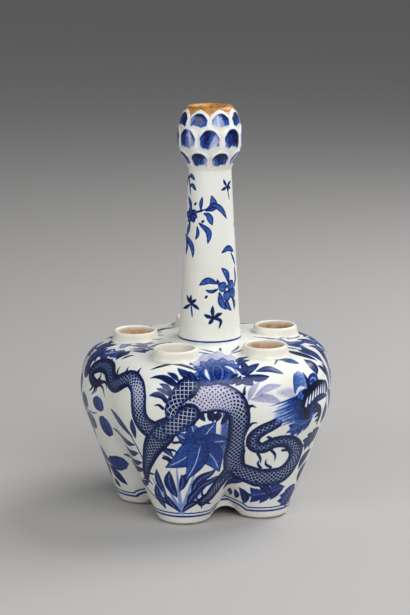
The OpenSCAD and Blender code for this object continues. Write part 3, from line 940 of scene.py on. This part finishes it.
def paint_neck(canvas):
    blades(canvas, [
        ([(-170, 202), (-156, 196), (-145, 187)], 1.2), ([(-159, 198), (-146, 199.5), (-131, 197)], 2.4),
        ([(-152, 193), (-140, 194), (-126, 191)], 2.4), ([(-162, 199), (-168, 197), (-176, 192)], 2.6),
        ([(-141, 179), (-148, 184), (-159, 187)], 3.0), ([(-133, 178), (-112, 179.5), (-97, 181)], 1.2),
        ([(-112, 180), (-112, 184), (-108, 188)], 2.2), ([(-99, 180), (-81, 182.5), (-86, 189)], 4.4),
        ([(-97, 180), (-84, 182.8), (-70, 182), (-57, 179), (-45, 174)], 3.2),
        ([(-103, 178), (-92, 176.5), (-84, 171)], 3.6),
        ([(-115, 172), (-95, 168), (-92, 164.5), (-95, 160)], 3.4),
        ([(-121, 170), (-119, 166), (-125, 162)], 2.2), ([(-145, 172), (-150, 168), (-158, 163)], 3.2),
        ([(-165, 164), (-141, 160), (-132, 156), (-130, 151)], 3.6),
        ([(-160, 162), (-153, 158), (-156, 152)], 2.6),
        ([(-61, 155), (-44, 157), (-23, 154)], 3.4), ([(-36, 154), (-27, 150), (-18, 145)], 1.6),
        ([(-48, 137), (-52, 142), (-65, 146)], 3.6), ([(-76, 137), (-94, 138.5), (-113, 135.5)], 3.8),
        ([(-73, 133.5), (-86, 132), (-100, 133)], 2.0), ([(-66, 134), (-70, 136), (-76, 139.5)], 1.8),
        ([(-70, 131), (-66, 125), (-55, 120.5)], 3.8), ([(-56, 128), (-52, 123), (-42, 119.5)], 3.0),
        ([(-40, 128), (-33, 124), (-34, 119.5)], 2.4), ([(-30, 133), (-22, 139), (-26, 146)], 2.0),
    ])
    for spot in ((-108, 173), (-10, 169.5), (-98, 128.5), (-129, 183)):
        stroke(canvas, [spot, canvas.shift(spot, 0.5, 0.6)], [1.3, 1.3], 0.98, 0.1)
    for right, up in ((-6, 1.6), (4.6, 3), (2.4, -4), (-3.8, -3.6), (-1, 5), (5, -0.6)):
        tip = canvas.shift((-141, 176), right, up)
        leaf(canvas, (-141, 176), tip, 3.8, 0.1, 0.7, 0, 1.02, 0.3, PETAL)
    for middle in ((-62, 134.5), (-50, 132), (-41, 135), (-37, 130), (-53, 129)):
        leaf(canvas, canvas.shift(middle, -3, 0), canvas.shift(middle, 3, 0), 6, 0, 0.56, 0, 1.02, 0, OVAL)
    stroke(canvas, [(-54, 132.5), (-52, 133)], [1.4, 1.4], 0.1, 0)
    star(canvas, (-41, 193.5), [(-53, 198), (-20, 196), (-61, 191.5), (-36, 190), (-24, 191.5)])
    line(canvas, [(-41, 193), (-36, 189), (-33, 185.5)], 0.6)
    star(canvas, (-130, 124), [(-144, 129), (-117, 127), (-156, 120), (-110, 121), (-131, 129.5)], 2.0)
    line(canvas, [(-130, 123.5), (-128, 120), (-126, 116.5)], 0.9)
    star(canvas, (-83, 116.5), [(-84, 124), (-102, 118.5), (-93, 112.5), (-64, 119)], 2.2)
    stroke(canvas, [(-83, 116.5), (-69, 114.5), (-72, 110)], [1.4, 1.8, 1.6, 0.3], 0.98, 0.1)


ring(neck_canvas, 102.0, 0.9, 0.9)
for turn in (0, 180):
    neck_canvas.turn = turn
    paint_neck(neck_canvas)
tell_share("neck", neck_canvas)

# %% [markdown]
# A glazed wall is a thin shell: an outer skin, an inner skin and a rim that joins them. Solidify could
# give it thickness, but then both skins would be as dense as the painting. So each skin starts as a
# flat grid of its own that is laid on the surface: a dense one outside, which carries the painting,
# and a coarse one inside.


# %% Skins
def add_skin(bm, points, paint):
    """Lay a grid of faces on points (millimetres) and give it the painted values."""
    rows, columns = points.shape[:2]
    grid = bmesh.new()
    bmesh.ops.create_grid(grid, x_segments=columns - 1, y_segments=rows - 1, size=1)
    mesh = bpy.data.meshes.new("skin")
    grid.to_mesh(mesh)
    grid.free()
    mesh.vertices.foreach_set("co", (points * MM).astype(np.float32).ravel())
    for name in Canvas.VALUES:
        layer = mesh.attributes.new(name, "FLOAT", "POINT")
        if name in paint:
            layer.data.foreach_set("value", paint[name].astype(np.float32).ravel())
    start = len(bm.faces)
    bm.from_mesh(mesh)
    bpy.data.meshes.remove(mesh)
    bm.faces.ensure_lookup_table()
    return bm.faces[start:]


def inset_points(shape, bearings, runs, wall):
    """Points that lie wall millimetres behind the surface."""
    bearings, runs = np.asarray(bearings)[None, :], np.asarray(runs)[:, None]
    step = 0.2
    round_way = shape(bearings + step, runs) - shape(bearings - step, runs)
    lo, hi = np.maximum(runs - step, runs.min()), np.minimum(runs + step, runs.max())
    up_way = shape(bearings, hi) - shape(bearings, lo)
    out = np.cross(round_way, up_way)
    out /= np.linalg.norm(out, axis=-1, keepdims=True)
    return shape(bearings, runs) - wall * out


print("values on a skin:", ", ".join(Canvas.VALUES))

# %% [markdown]
# Where two skins end, their open edges are bridged, which closes the shell. Every finished piece then
# goes the same way: its normals are turned outwards, it gets its finish, it rides on the one body of
# the vase, and the solids it stands for are hidden.


# %% Closing and finishing a piece
def open_edges(bm):
    return [e for e in bm.edges if e.is_boundary]


def join_skins(bm):
    """Bridge the open edges of two skins, and keep the rims crisp."""
    rims = open_edges(bm)
    for edge in rims:
        edge.smooth = False
    bmesh.ops.bridge_loops(bm, edges=rims)


def finish_piece(bm, name, material, nodes):
    """Turn a bmesh into a finished piece that rides on the body and hides the CAD nodes it stands for."""
    bmesh.ops.recalc_face_normals(bm, faces=bm.faces)
    for face in bm.faces:
        face.smooth = True
    mesh = bpy.data.meshes.new(name)
    bm.to_mesh(mesh)
    bm.free()
    mesh.materials.append(material)
    piece = bpy.data.objects.new(name, mesh)
    scene.collection.objects.link(piece)
    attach(piece, "root")
    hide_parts(*nodes)
    mesh.calc_loop_triangles()
    print(name, "triangles:", len(mesh.loop_triangles))


# %% [markdown]
# A finish here is built from nodes in code, so that all of it stands in this file. Each node is one
# short call, and its result can go straight into the next call, so a finish reads like a recipe.
# Patterns are placed by Object coordinates, so they stay on the piece from every side.


# %% A mixer for nodes
def linear(red, green, blue):
    """A screen colour (0 to 255) in the renderer's own light values."""
    return (*(((c / 255 + 0.055) / 1.055) ** 2.4 for c in (red, green, blue)), 1.0)


class Mixer:
    """Builds the nodes of one material, a line at a time."""

    def __init__(self, name):
        self.material = bpy.data.materials.new(name)
        self.material.use_nodes = True
        self.nodes = self.material.node_tree.nodes
        self.links = self.material.node_tree.links
        self.shader = self.nodes["Principled BSDF"]
        self.place = self.nodes.new("ShaderNodeTexCoord").outputs["Object"]

    def put(self, socket, value):
        if isinstance(value, bpy.types.NodeSocket):
            self.links.new(value, socket)
        else:
            socket.default_value = value

    def math(self, operation, a, b=0.0, c=0.0):
        node = self.nodes.new("ShaderNodeMath")
        node.operation = operation
        for socket, value in zip(node.inputs, (a, b, c)):
            self.put(socket, value)
        return node.outputs[0]

    def attribute(self, name):
        node = self.nodes.new("ShaderNodeAttribute")
        node.attribute_name = name
        return node.outputs["Fac"]

    def noise(self, scale, detail=2.0):
        node = self.nodes.new("ShaderNodeTexNoise")
        self.put(node.inputs["Vector"], self.place)
        self.put(node.inputs["Scale"], scale)
        self.put(node.inputs["Detail"], detail)
        return node.outputs["Fac"]

    def spots(self, scale):
        node = self.nodes.new("ShaderNodeTexVoronoi")
        self.put(node.inputs["Vector"], self.place)
        self.put(node.inputs["Scale"], scale)
        return node.outputs["Distance"]

    def span(self, value, low, high, to_low=0.0, to_high=1.0):
        node = self.nodes.new("ShaderNodeMapRange")
        for socket, number in zip(node.inputs, (value, low, high, to_low, to_high)):
            self.put(socket, number)
        return node.outputs[0]

    def ramp(self, value, stops):
        node = self.nodes.new("ShaderNodeValToRGB")
        self.put(node.inputs[0], value)
        bands = node.color_ramp.elements
        while len(bands) < len(stops):
            bands.new(0.5)
        for band, (place, colour) in zip(bands, stops):
            band.position = place
            band.color = linear(*colour)
        return node.outputs["Color"]

    def blend(self, share, a, b, how="MIX"):
        node = self.nodes.new("ShaderNodeMix")
        node.data_type = "RGBA"
        node.blend_type = how
        for socket, value in zip((node.inputs[0], node.inputs[6], node.inputs[7]), (share, a, b)):
            self.put(socket, value)
        return node.outputs[2]

    def bump(self, height, strength, depth):
        node = self.nodes.new("ShaderNodeBump")
        self.put(node.inputs["Height"], height)
        self.put(node.inputs["Strength"], strength)
        self.put(node.inputs["Distance"], depth)
        self.links.new(node.outputs[0], self.shader.inputs["Normal"])


print("white in the renderer's light:", round(linear(255, 255, 255)[0], 2))

# %% [markdown]
# Every glazed piece wears the same clear glaze: glossy, faintly grey-green where it is thick, with a few
# kiln specks and a slightly uneven surface. It is laid over whatever colour lies under it, so one
# helper takes a colour and adds the glaze.

# %% Clear glaze
GLAZE_TINT = linear(240, 240, 226)
KILN_SPECK = linear(70, 55, 40)


def under_glaze(mix, colour):
    """Put a clear, faintly uneven glaze with kiln specks over a colour."""
    tint = mix.span(mix.noise(45, 3), 0.35, 0.7, 0.0, 0.6)
    colour = mix.blend(tint, colour, GLAZE_TINT, "MULTIPLY")
    specks = mix.math("MULTIPLY", mix.span(mix.spots(170), 0.05, 0.03), mix.span(mix.noise(60), 0.55, 0.6))
    colour = mix.blend(mix.math("MULTIPLY", specks, 0.55), colour, KILN_SPECK)
    mix.put(mix.shader.inputs["Base Color"], colour)
    mix.put(mix.shader.inputs["Roughness"], mix.span(mix.noise(90, 3), 0.3, 0.7, 0.16, 0.3))
    mix.put(mix.shader.inputs["Specular IOR Level"], 0.38)
    mix.bump(mix.noise(240, 2), 0.12, 0.00025)
    return mix.material


print("glaze tint:", [round(c, 2) for c in GLAZE_TINT[:3]])

# %% [markdown]
# The painting is cobalt under that glaze. A colour ramp turns the tone that was painted on a point into
# cobalt: thin washes are pale, and where the colour pooled it is nearly black. A second ramp is more
# violet. Noise makes the wash uneven, as a loaded brush does. The dragon's scales are drawn by the
# material from two painted directions, along and across the body, so they stay sharp.

# %% Cobalt painting
WHITE = (231, 231, 226)
COBALT = [
    (0.0, WHITE), (0.14, (200, 209, 228)), (0.32, (138, 160, 208)), (0.5, (50, 90, 168)),
    (0.66, (16, 50, 126)), (0.8, (8, 30, 88)), (1.0, (3, 8, 34)),
]
VIOLET = [
    (0.0, WHITE), (0.14, (212, 210, 224)), (0.32, (168, 166, 200)), (0.5, (96, 102, 156)),
    (0.66, (44, 54, 106)), (0.8, (26, 34, 76)), (1.0, (9, 11, 36)),
]


def painted(name):
    """Cobalt painting under glaze: tone, hue and scales come from the values laid on the canvas."""
    mix = Mixer(name)
    along, across = mix.attribute("scale_along"), mix.attribute("scale_across")
    net = mix.math(
        "MINIMUM",
        mix.math("PINGPONG", mix.math("ADD", along, across), 0.5),
        mix.math("PINGPONG", mix.math("SUBTRACT", along, across), 0.5),
    )
    edge = mix.math("MULTIPLY_ADD", mix.attribute("scales"), -0.48, 0.5)
    cells = mix.math("MULTIPLY", mix.span(mix.math("SUBTRACT", net, edge), 0.0, 0.1), 1.05)
    tone = mix.math("MAXIMUM", mix.attribute("tone"), cells)
    uneven = mix.span(mix.noise(700, 4), 0.3, 0.7, 0.82, 1.14)
    pooled = mix.span(mix.noise(2200, 2), 0.56, 0.74, 0.0, 0.14)
    tone = mix.math("MULTIPLY", mix.math("ADD", uneven, pooled), tone)
    colour = mix.blend(mix.attribute("violet"), mix.ramp(tone, COBALT), mix.ramp(tone, VIOLET))
    return under_glaze(mix, colour)


painted_glaze = painted("painted_glaze")
cobalt_petal = painted("cobalt_petal")
print("nodes in the painted glaze:", len(painted_glaze.node_tree.nodes))

# %% [markdown]
# The spouts and the bulb are plain white, with a rusty stain inside where water stood. The lip wears
# a brush of iron slip that fired to brown. The feet are bare clay, toasted by the kiln: they have no
# glaze, so they are rough and a little grainy.

# %% Plain white, iron and bare clay
IRON = [(0.28, (126, 78, 28)), (0.5, (186, 126, 56)), (0.74, (212, 166, 106))]
CLAY = [(0.3, (178, 158, 132)), (0.5, (198, 184, 162)), (0.72, (214, 204, 188))]
SOFT_WHITE = [(0.3, (236, 233, 222)), (0.7, (226, 224, 214))]


def stained_white(name):
    """White glaze with a rusty stain where the stain value is above 0."""
    mix = Mixer(name)
    white = mix.ramp(mix.noise(60, 3), SOFT_WHITE)
    patches = mix.span(mix.noise(160, 4), 0.25, 0.6, 0.6, 1.0)
    share = mix.math("MULTIPLY", mix.attribute("stain"), patches)
    return under_glaze(mix, mix.blend(share, white, mix.ramp(mix.noise(420, 4), IRON)))


def iron_slip(name):
    mix = Mixer(name)
    mix.put(mix.shader.inputs["Base Color"], mix.ramp(mix.noise(260, 5), IRON))
    mix.put(mix.shader.inputs["Roughness"], mix.span(mix.noise(400, 3), 0.3, 0.7, 0.28, 0.5))
    mix.bump(mix.noise(900, 3), 0.3, 0.0003)
    return mix.material


def raw_clay(name):
    mix = Mixer(name)
    mix.put(mix.shader.inputs["Base Color"], mix.ramp(mix.noise(300, 5), CLAY))
    mix.put(mix.shader.inputs["Roughness"], mix.span(mix.noise(800, 3), 0.3, 0.7, 0.6, 0.85))
    mix.bump(mix.noise(2600, 4), 0.4, 0.0002)
    return mix.material


white_glaze = stained_white("white_glaze")
iron_dressing = iron_slip("iron_dressing")
bare_clay = raw_clay("bare_clay")
print("finishes:", white_glaze.name, iron_dressing.name, bare_clay.name)

# %% [markdown]
# Now the painted net becomes five lobes, each a shell of its own from one crease to the next, as the
# moulded clay was. The hole for a spout could be a boolean, but the net is so fine that it is enough
# to delete the faces inside a circle and bridge the two edges.

# %% Five lobes
SPOUT_FIRST, SPOUT_RING, SPOUT_HOLE = -116.0, 45.2, 12.1
WALL = 3.4
INNER_COLUMNS, INNER_ROWS = 36, 60


def spout_centre(k):
    angle = math.radians(SPOUT_FIRST + k * LOBE_TURN)
    return SPOUT_RING * MM * math.cos(angle), SPOUT_RING * MM * math.sin(angle)


def in_spout_hole(point, centre):
    """True for a point of the shoulder that the spout's tube passes through."""
    aside = math.hypot(point.x - centre[0], point.y - centre[1])
    return point.z > EDGE_H * MM and aside < SPOUT_HOLE * MM


for k in range(LOBES):
    pick = (k * COLUMNS + np.arange(COLUMNS + 1)) % (LOBES * COLUMNS)
    start = FIRST_LOBE - LOBE_TURN / 2 + k * LOBE_TURN
    inner_bearings = start + np.linspace(0, LOBE_TURN, INNER_COLUMNS + 1)
    inner = inset_points(body_wall, inner_bearings, np.linspace(0, BODY_RUN, INNER_ROWS + 1), WALL)
    bm = bmesh.new()
    paint = {name: value[:, pick] for name, value in body_canvas.paint.items()}
    add_skin(bm, body_canvas.points[:, pick], paint)
    bmesh.ops.reverse_faces(bm, faces=add_skin(bm, inner, {}))
    join_skins(bm)
    centre = spout_centre(k)
    hole = [f for f in bm.faces if in_spout_hole(f.calc_center_median(), centre)]
    bmesh.ops.delete(bm, geom=hole, context="FACES")
    join_skins(bm)
    nodes = [f"lobe_section_{k + 1}", f"shoulder_section_{k + 1}"]
    finish_piece(bm, f"lobe_{k + 1}", painted_glaze, nodes)

# %% [markdown]
# The vase stands on five little rings of bare clay, one under each lobe, where the glaze was wiped
# off so that the foot would not stick in the kiln. Each is a profile spun round the axis of its leg,
# then sheared, because the leg leans in as it rises.


# %% Five feet
def spin_profile(profile, steps):
    """Spin a closed profile of (radius, height) in millimetres round the upright axis."""
    bm = bmesh.new()
    verts = [bm.verts.new((r * MM, 0, z * MM)) for r, z in profile]
    edges = [bm.edges.new(pair) for pair in zip(verts, verts[1:] + verts[:1])]
    bmesh.ops.spin(
        bm, geom=verts + edges, axis=(0, 0, 1), cent=(0, 0, 0),
        angle=2 * math.pi, steps=steps, use_merge=True,
    )
    return bm


FOOT_TOP, FOOT_STEPS = 11.0, 72
FOOT_PROFILE = [
    (11.6, FOOT_TOP), (11.2, 4.0), (11.3, 1.2), (11.9, 0.3), (12.6, 0.0),
    (13.4, 0.0), (14.2, 0.25), (14.7, 0.9), (15.2, 2.0), (19.6, FOOT_TOP),
]
LEAN = (FOOT_RING - BELLY_RING) / BELLY_H


def outwards(degrees):
    """The level direction at a bearing round the vase."""
    angle = math.radians(degrees)
    return Vector((math.cos(angle), math.sin(angle), 0))


for k in range(LOBES):
    bm = spin_profile(FOOT_PROFILE, FOOT_STEPS)
    out = outwards(FIRST_LOBE + k * LOBE_TURN)
    for vert in bm.verts:
        vert.co += out * (FOOT_RING * MM - LEAN * vert.co.z)
    finish_piece(bm, f"foot_{k + 1}", bare_clay, [f"foot_ring_{k + 1}"])

# %% [markdown]
# The tube of the neck is made like a lobe, from its painted net outside and a coarse bore inside. It
# goes all the way round, so the first and last columns of each skin are merged before the rims at its
# two ends are bridged, the upper one first.

# %% Neck
NECK_WALL, BORE_COLUMNS, BORE_ROWS = 3.3, 60, 30
MERGE_GAP, HALF_UP = 0.005, 150

bm = bmesh.new()
pick = np.arange(NECK_COLUMNS + 1) % NECK_COLUMNS
paint = {name: value[:, pick] for name, value in neck_canvas.paint.items()}
add_skin(bm, neck_canvas.points[:, pick], paint)
bore_bearings = np.linspace(NECK_BACK, NECK_BACK + 360, BORE_COLUMNS + 1)
bore = inset_points(neck_wall, bore_bearings, np.linspace(NECK_LOW, NECK_TOP, BORE_ROWS + 1), NECK_WALL)
bmesh.ops.reverse_faces(bm, faces=add_skin(bm, bore, {}))
bmesh.ops.remove_doubles(bm, verts=bm.verts, dist=MERGE_GAP * MM)
bmesh.ops.bridge_loops(bm, edges=[e for e in open_edges(bm) if e.verts[0].co.z > HALF_UP * MM])
join_skins(bm)
finish_piece(bm, "neck_tube", painted_glaze, ["neck"])

# %% [markdown]
# The mouth swells into a bulb. It is turned, so one spun profile makes the outer and inner wall. The
# top of it, between the tips of the petals, has the same iron-brown dressing as the lip, and so has
# the inside, where it can be seen through the mouth.

# %% Bulb
BULB_STEPS = 128
BULB_PROFILE = [
    (12.75, 202.6), (13.3, 204.6), (14.6, 208), (16.3, 211), (17.6, 213.8), (18.45, 218),
    (18.5, 221.5), (18.2, 226), (17.4, 230.5), (16.2, 234.2), (14.8, 237.2),
]
BULB_INSIDE = [(11.6, 237.6), (13.2, 233), (15.2, 226), (15.2, 219), (12.5, 210), (9.4, 202.6)]
BULB_BORE, BORE_FROM = 15.2, 215
IRON_FROM, IRON_EASE = 233.5, 1.5

bulb_curve = smooth_path(BULB_PROFILE, 6)
bm = spin_profile(np.vstack([bulb_curve, smooth_path(BULB_INSIDE, 3)]), BULB_STEPS)
stain = bm.verts.layers.float.new("stain")
for vert in bm.verts:
    inside = math.hypot(vert.co.x, vert.co.y) < BULB_BORE * MM and vert.co.z > BORE_FROM * MM
    vert[stain] = 1.0 if inside else min(max((vert.co.z / MM - IRON_FROM) / IRON_EASE, 0), 1)
finish_piece(bm, "bulb", white_glaze, ["mouth_bulb"])

# %% [markdown]
# Three rows of eight moulded petals lie on the bulb like the leaves of a bud. A petal could be sculpted,
# but all are alike, so each is a small grid with its own two directions, across and up. Its pointed
# outline and its swelling are written in those two.

# %% Shape of a petal
PETALS = 8
PETAL_HALF, PETAL_SPREAD = 180 / PETALS, 0.985
PETAL_CELLS = 40
RELIEF, FACE_DROP, SUNK = 0.85, 0.05, 0.7
BULB_TOP = (13.5, 239.5)
PETAL_ACROSS = np.linspace(-1, 1, PETAL_CELLS + 1)[None, :]
PETAL_UP = np.linspace(0, 1, PETAL_CELLS + 1)[:, None]


def bulb_radius(z):
    outline = np.vstack([bulb_curve, BULB_TOP])
    return np.interp(z, outline[:, 1], outline[:, 0])


def petal_skin(middle, base, tip, notch, face):
    """Points of one petal: its face, or else the back that lies in the bulb."""
    across, up = PETAL_ACROSS, PETAL_UP
    edge = notch + (tip - notch) * (1 - np.abs(across) ** 1.35)
    z = base + up * (edge - base)
    side = 1 - np.abs(across) ** 6
    top = 1 - up**9
    foot = np.clip(up / 0.25, 0, 1)
    swell = (0.55 + 0.45 * up) * side * top * foot
    r = bulb_radius(z) + RELIEF * swell - FACE_DROP if face else bulb_radius(z) - SUNK
    angle = np.radians(middle + across * PETAL_HALF * PETAL_SPREAD)
    return np.stack(np.broadcast_arrays(r * np.cos(angle), r * np.sin(angle), z), -1)


petal_width = 2 * math.radians(PETAL_HALF) * bulb_curve[:, 0].max()
print("width of a petal at the belly:", round(petal_width, 1), "mm")

# %% [markdown]
# Each petal wears one dab of cobalt inside a white border. The painter's hand shows in them: the brush
# was full at one place and left a pale streak at another. Eight dabs with those places listed are
# enough, because each row starts with another one.

# %% A dab on a petal
PETAL_DABS = [
    (0.1, 0.75, -0.9, 0.6), (0.4, 0.6, -0.3, 0.5), (-0.5, 0.6, 0.3, 0.52), (-0.3, 0.6, 0.5, 0.5),
    (0.3, 0.5, -0.8, 0.7), (0.0, 0.75, -0.8, 0.6), (0.4, 0.8, -0.3, 0.46), (-0.2, 0.75, 0.7, 0.58),
]


def petal_paint(dab):
    """A dab of cobalt inside a white border: dark where the brush was full, pale beside it."""
    full_at, full_up, pale_at, wash = PETAL_DABS[dab]
    across, up = PETAL_ACROSS, PETAL_UP
    ragged = 0.04 * np.sin(5 * across + 1.9 * dab) + 0.02 * np.sin(13 * across + 4 * dab)
    top = 0.89 - 0.05 * np.exp(-((across / 0.3) ** 2)) - 0.36 * np.abs(across - 0.12 * full_at) ** 3
    low = 0.17 + 0.12 * across**2 - 0.06 * full_at * across + ragged
    side = 0.86 - 0.16 * (1 - up) ** 2 + 0.3 * ragged
    cover = np.clip((top - up) / 0.05, 0, 1) * np.clip((up - low) / 0.09, 0, 1)
    cover = cover * np.clip((side - np.abs(across)) / 0.08, 0, 1)
    slant = across - (0.8 if dab % 2 else -0.5) * (up - 0.5)
    full = np.exp(-(((slant - full_at) / 0.4) ** 2) - ((up - full_up) / 0.4) ** 2)
    pale = np.exp(-(((slant - pale_at) / 0.3) ** 2))
    pale = pale * np.clip(1.6 - 1.4 * np.abs(up - 0.55) - up / 2, 0, 1)
    grain = 0.07 * np.sin(7 * slant + 2.3 * dab + 5 * up) + 0.05 * np.sin(17 * slant + dab - 6 * up)
    rim = 0.3 * np.clip((up - top + 0.2) / 0.12, 0, 1) * (1 - 0.5 * pale)
    tone = cover * np.clip(wash + 0.3 * full - 0.26 * pale + rim + grain, 0.2, 0.96)
    return {"tone": tone, "violet": cover * 0.7 * pale}


print("different dabs:", len(PETAL_DABS))

# %% [markdown]
# Each row is half a petal further round than the one below, and the tips of its
# petals reach past the foot of the row above. The eight petals of a row are closed shells that are
# copied into one piece.


# %% Rows of petals
def petal_row(row, name, base, tip, notch, first):
    """One row of petals as one piece."""
    bm = bmesh.new()
    for i in range(PETALS):
        middle = first + i * 360 / PETALS
        one = bmesh.new()
        add_skin(one, petal_skin(middle, base, tip, notch, True), petal_paint((i + 3 * row) % PETALS))
        bmesh.ops.reverse_faces(one, faces=add_skin(one, petal_skin(middle, base, tip, notch, False), {}))
        join_skins(one)
        mesh = bpy.data.meshes.new("petal")
        one.to_mesh(mesh)
        one.free()
        bm.from_mesh(mesh)
        bpy.data.meshes.remove(mesh)
    finish_piece(bm, f"{name}_row", cobalt_petal, [name])


petal_row(0, "petals_lower", 203.6, 216.2, 212.6, -90 + PETAL_HALF)
petal_row(1, "petals_middle", 213.4, 230.8, 226.2, -90)
petal_row(2, "petals_upper", 227.0, 239.0, 235.6, -90 + PETAL_HALF)

# %% [markdown]
# The lip is a rounded ring that closes the top of the bulb. It was dipped in iron slip, which keeps a
# thin edge of glaze from chipping. A spun profile gives it, and the smooth curve rounds its corners.

# %% Lip
LIP_PROFILE = [
    (15.0, 236.3), (14.5, 237.6), (13.8, 239.0), (12.9, 239.75), (11.8, 239.95),
    (10.4, 239.6), (9.6, 238.8), (9.5, 237.4), (10.4, 236.3),
]
bm = spin_profile(smooth_path(LIP_PROFILE, 4), BULB_STEPS)
finish_piece(bm, "lip_ring", iron_dressing, ["mouth_lip"])

# %% [markdown]
# The spouts are short thrown collars that were pushed into a hole in each shoulder and smoothed down
# with slip, so the foot of the collar runs out into the shoulder. The rim is rounded and a little
# narrower than the foot. The stain inside differs from spout to spout, and the front left one has
# almost none.

# %% Spouts
SPOUT_TILT = math.radians(2)
SPOUT_STEPS = 96
SPOUT_STAIN = (0.1, 0.85, 0.95, 0.7, 0.9)
SPOUT_PROFILE = [
    (14.9, 97.8), (14.2, 98.7), (13.75, 99.8), (13.45, 101.2), (13.2, 102.7), (12.8, 103.6),
    (12.1, 104.0), (11.4, 103.7), (11.0, 102.9), (11.0, 96.0), (11.0, 89.5), (12.6, 89.4),
    (12.9, 94.0), (13.4, 96.6),
]
SPOUT_BORE, SPOUT_TOP = 11.6, 104
STAIN_FROM, STAIN_EASE = 103.4, 2.5

for k in range(LOBES):
    bm = spin_profile(smooth_path(SPOUT_PROFILE, 4), SPOUT_STEPS)
    out = outwards(SPOUT_FIRST + k * LOBE_TURN)
    stain = bm.verts.layers.float.new("stain")
    for vert in bm.verts:
        inside = math.hypot(vert.co.x, vert.co.y) < SPOUT_BORE * MM
        depth = min(max((STAIN_FROM - vert.co.z / MM) / STAIN_EASE, 0), 1)
        vert[stain] = SPOUT_STAIN[k] * depth if inside else 0.0
        vert.co += out * (SPOUT_RING * MM + math.tan(SPOUT_TILT) * (vert.co.z - SPOUT_TOP * MM))
    finish_piece(bm, f"spout_collar_{k + 1}", white_glaze, [f"spout_{k + 1}"])

# %% [markdown]
# A slab of clay closes the water chamber above the feet. Its solid has the right shape already, so it
# stays as it is and only gets the bare clay.

# %% Floor slab
slab = frame["nodes"]["base_floor"]
slab.data.materials.clear()
slab.data.materials.append(bare_clay)
print("finish of the slab:", slab.data.materials[0].name)
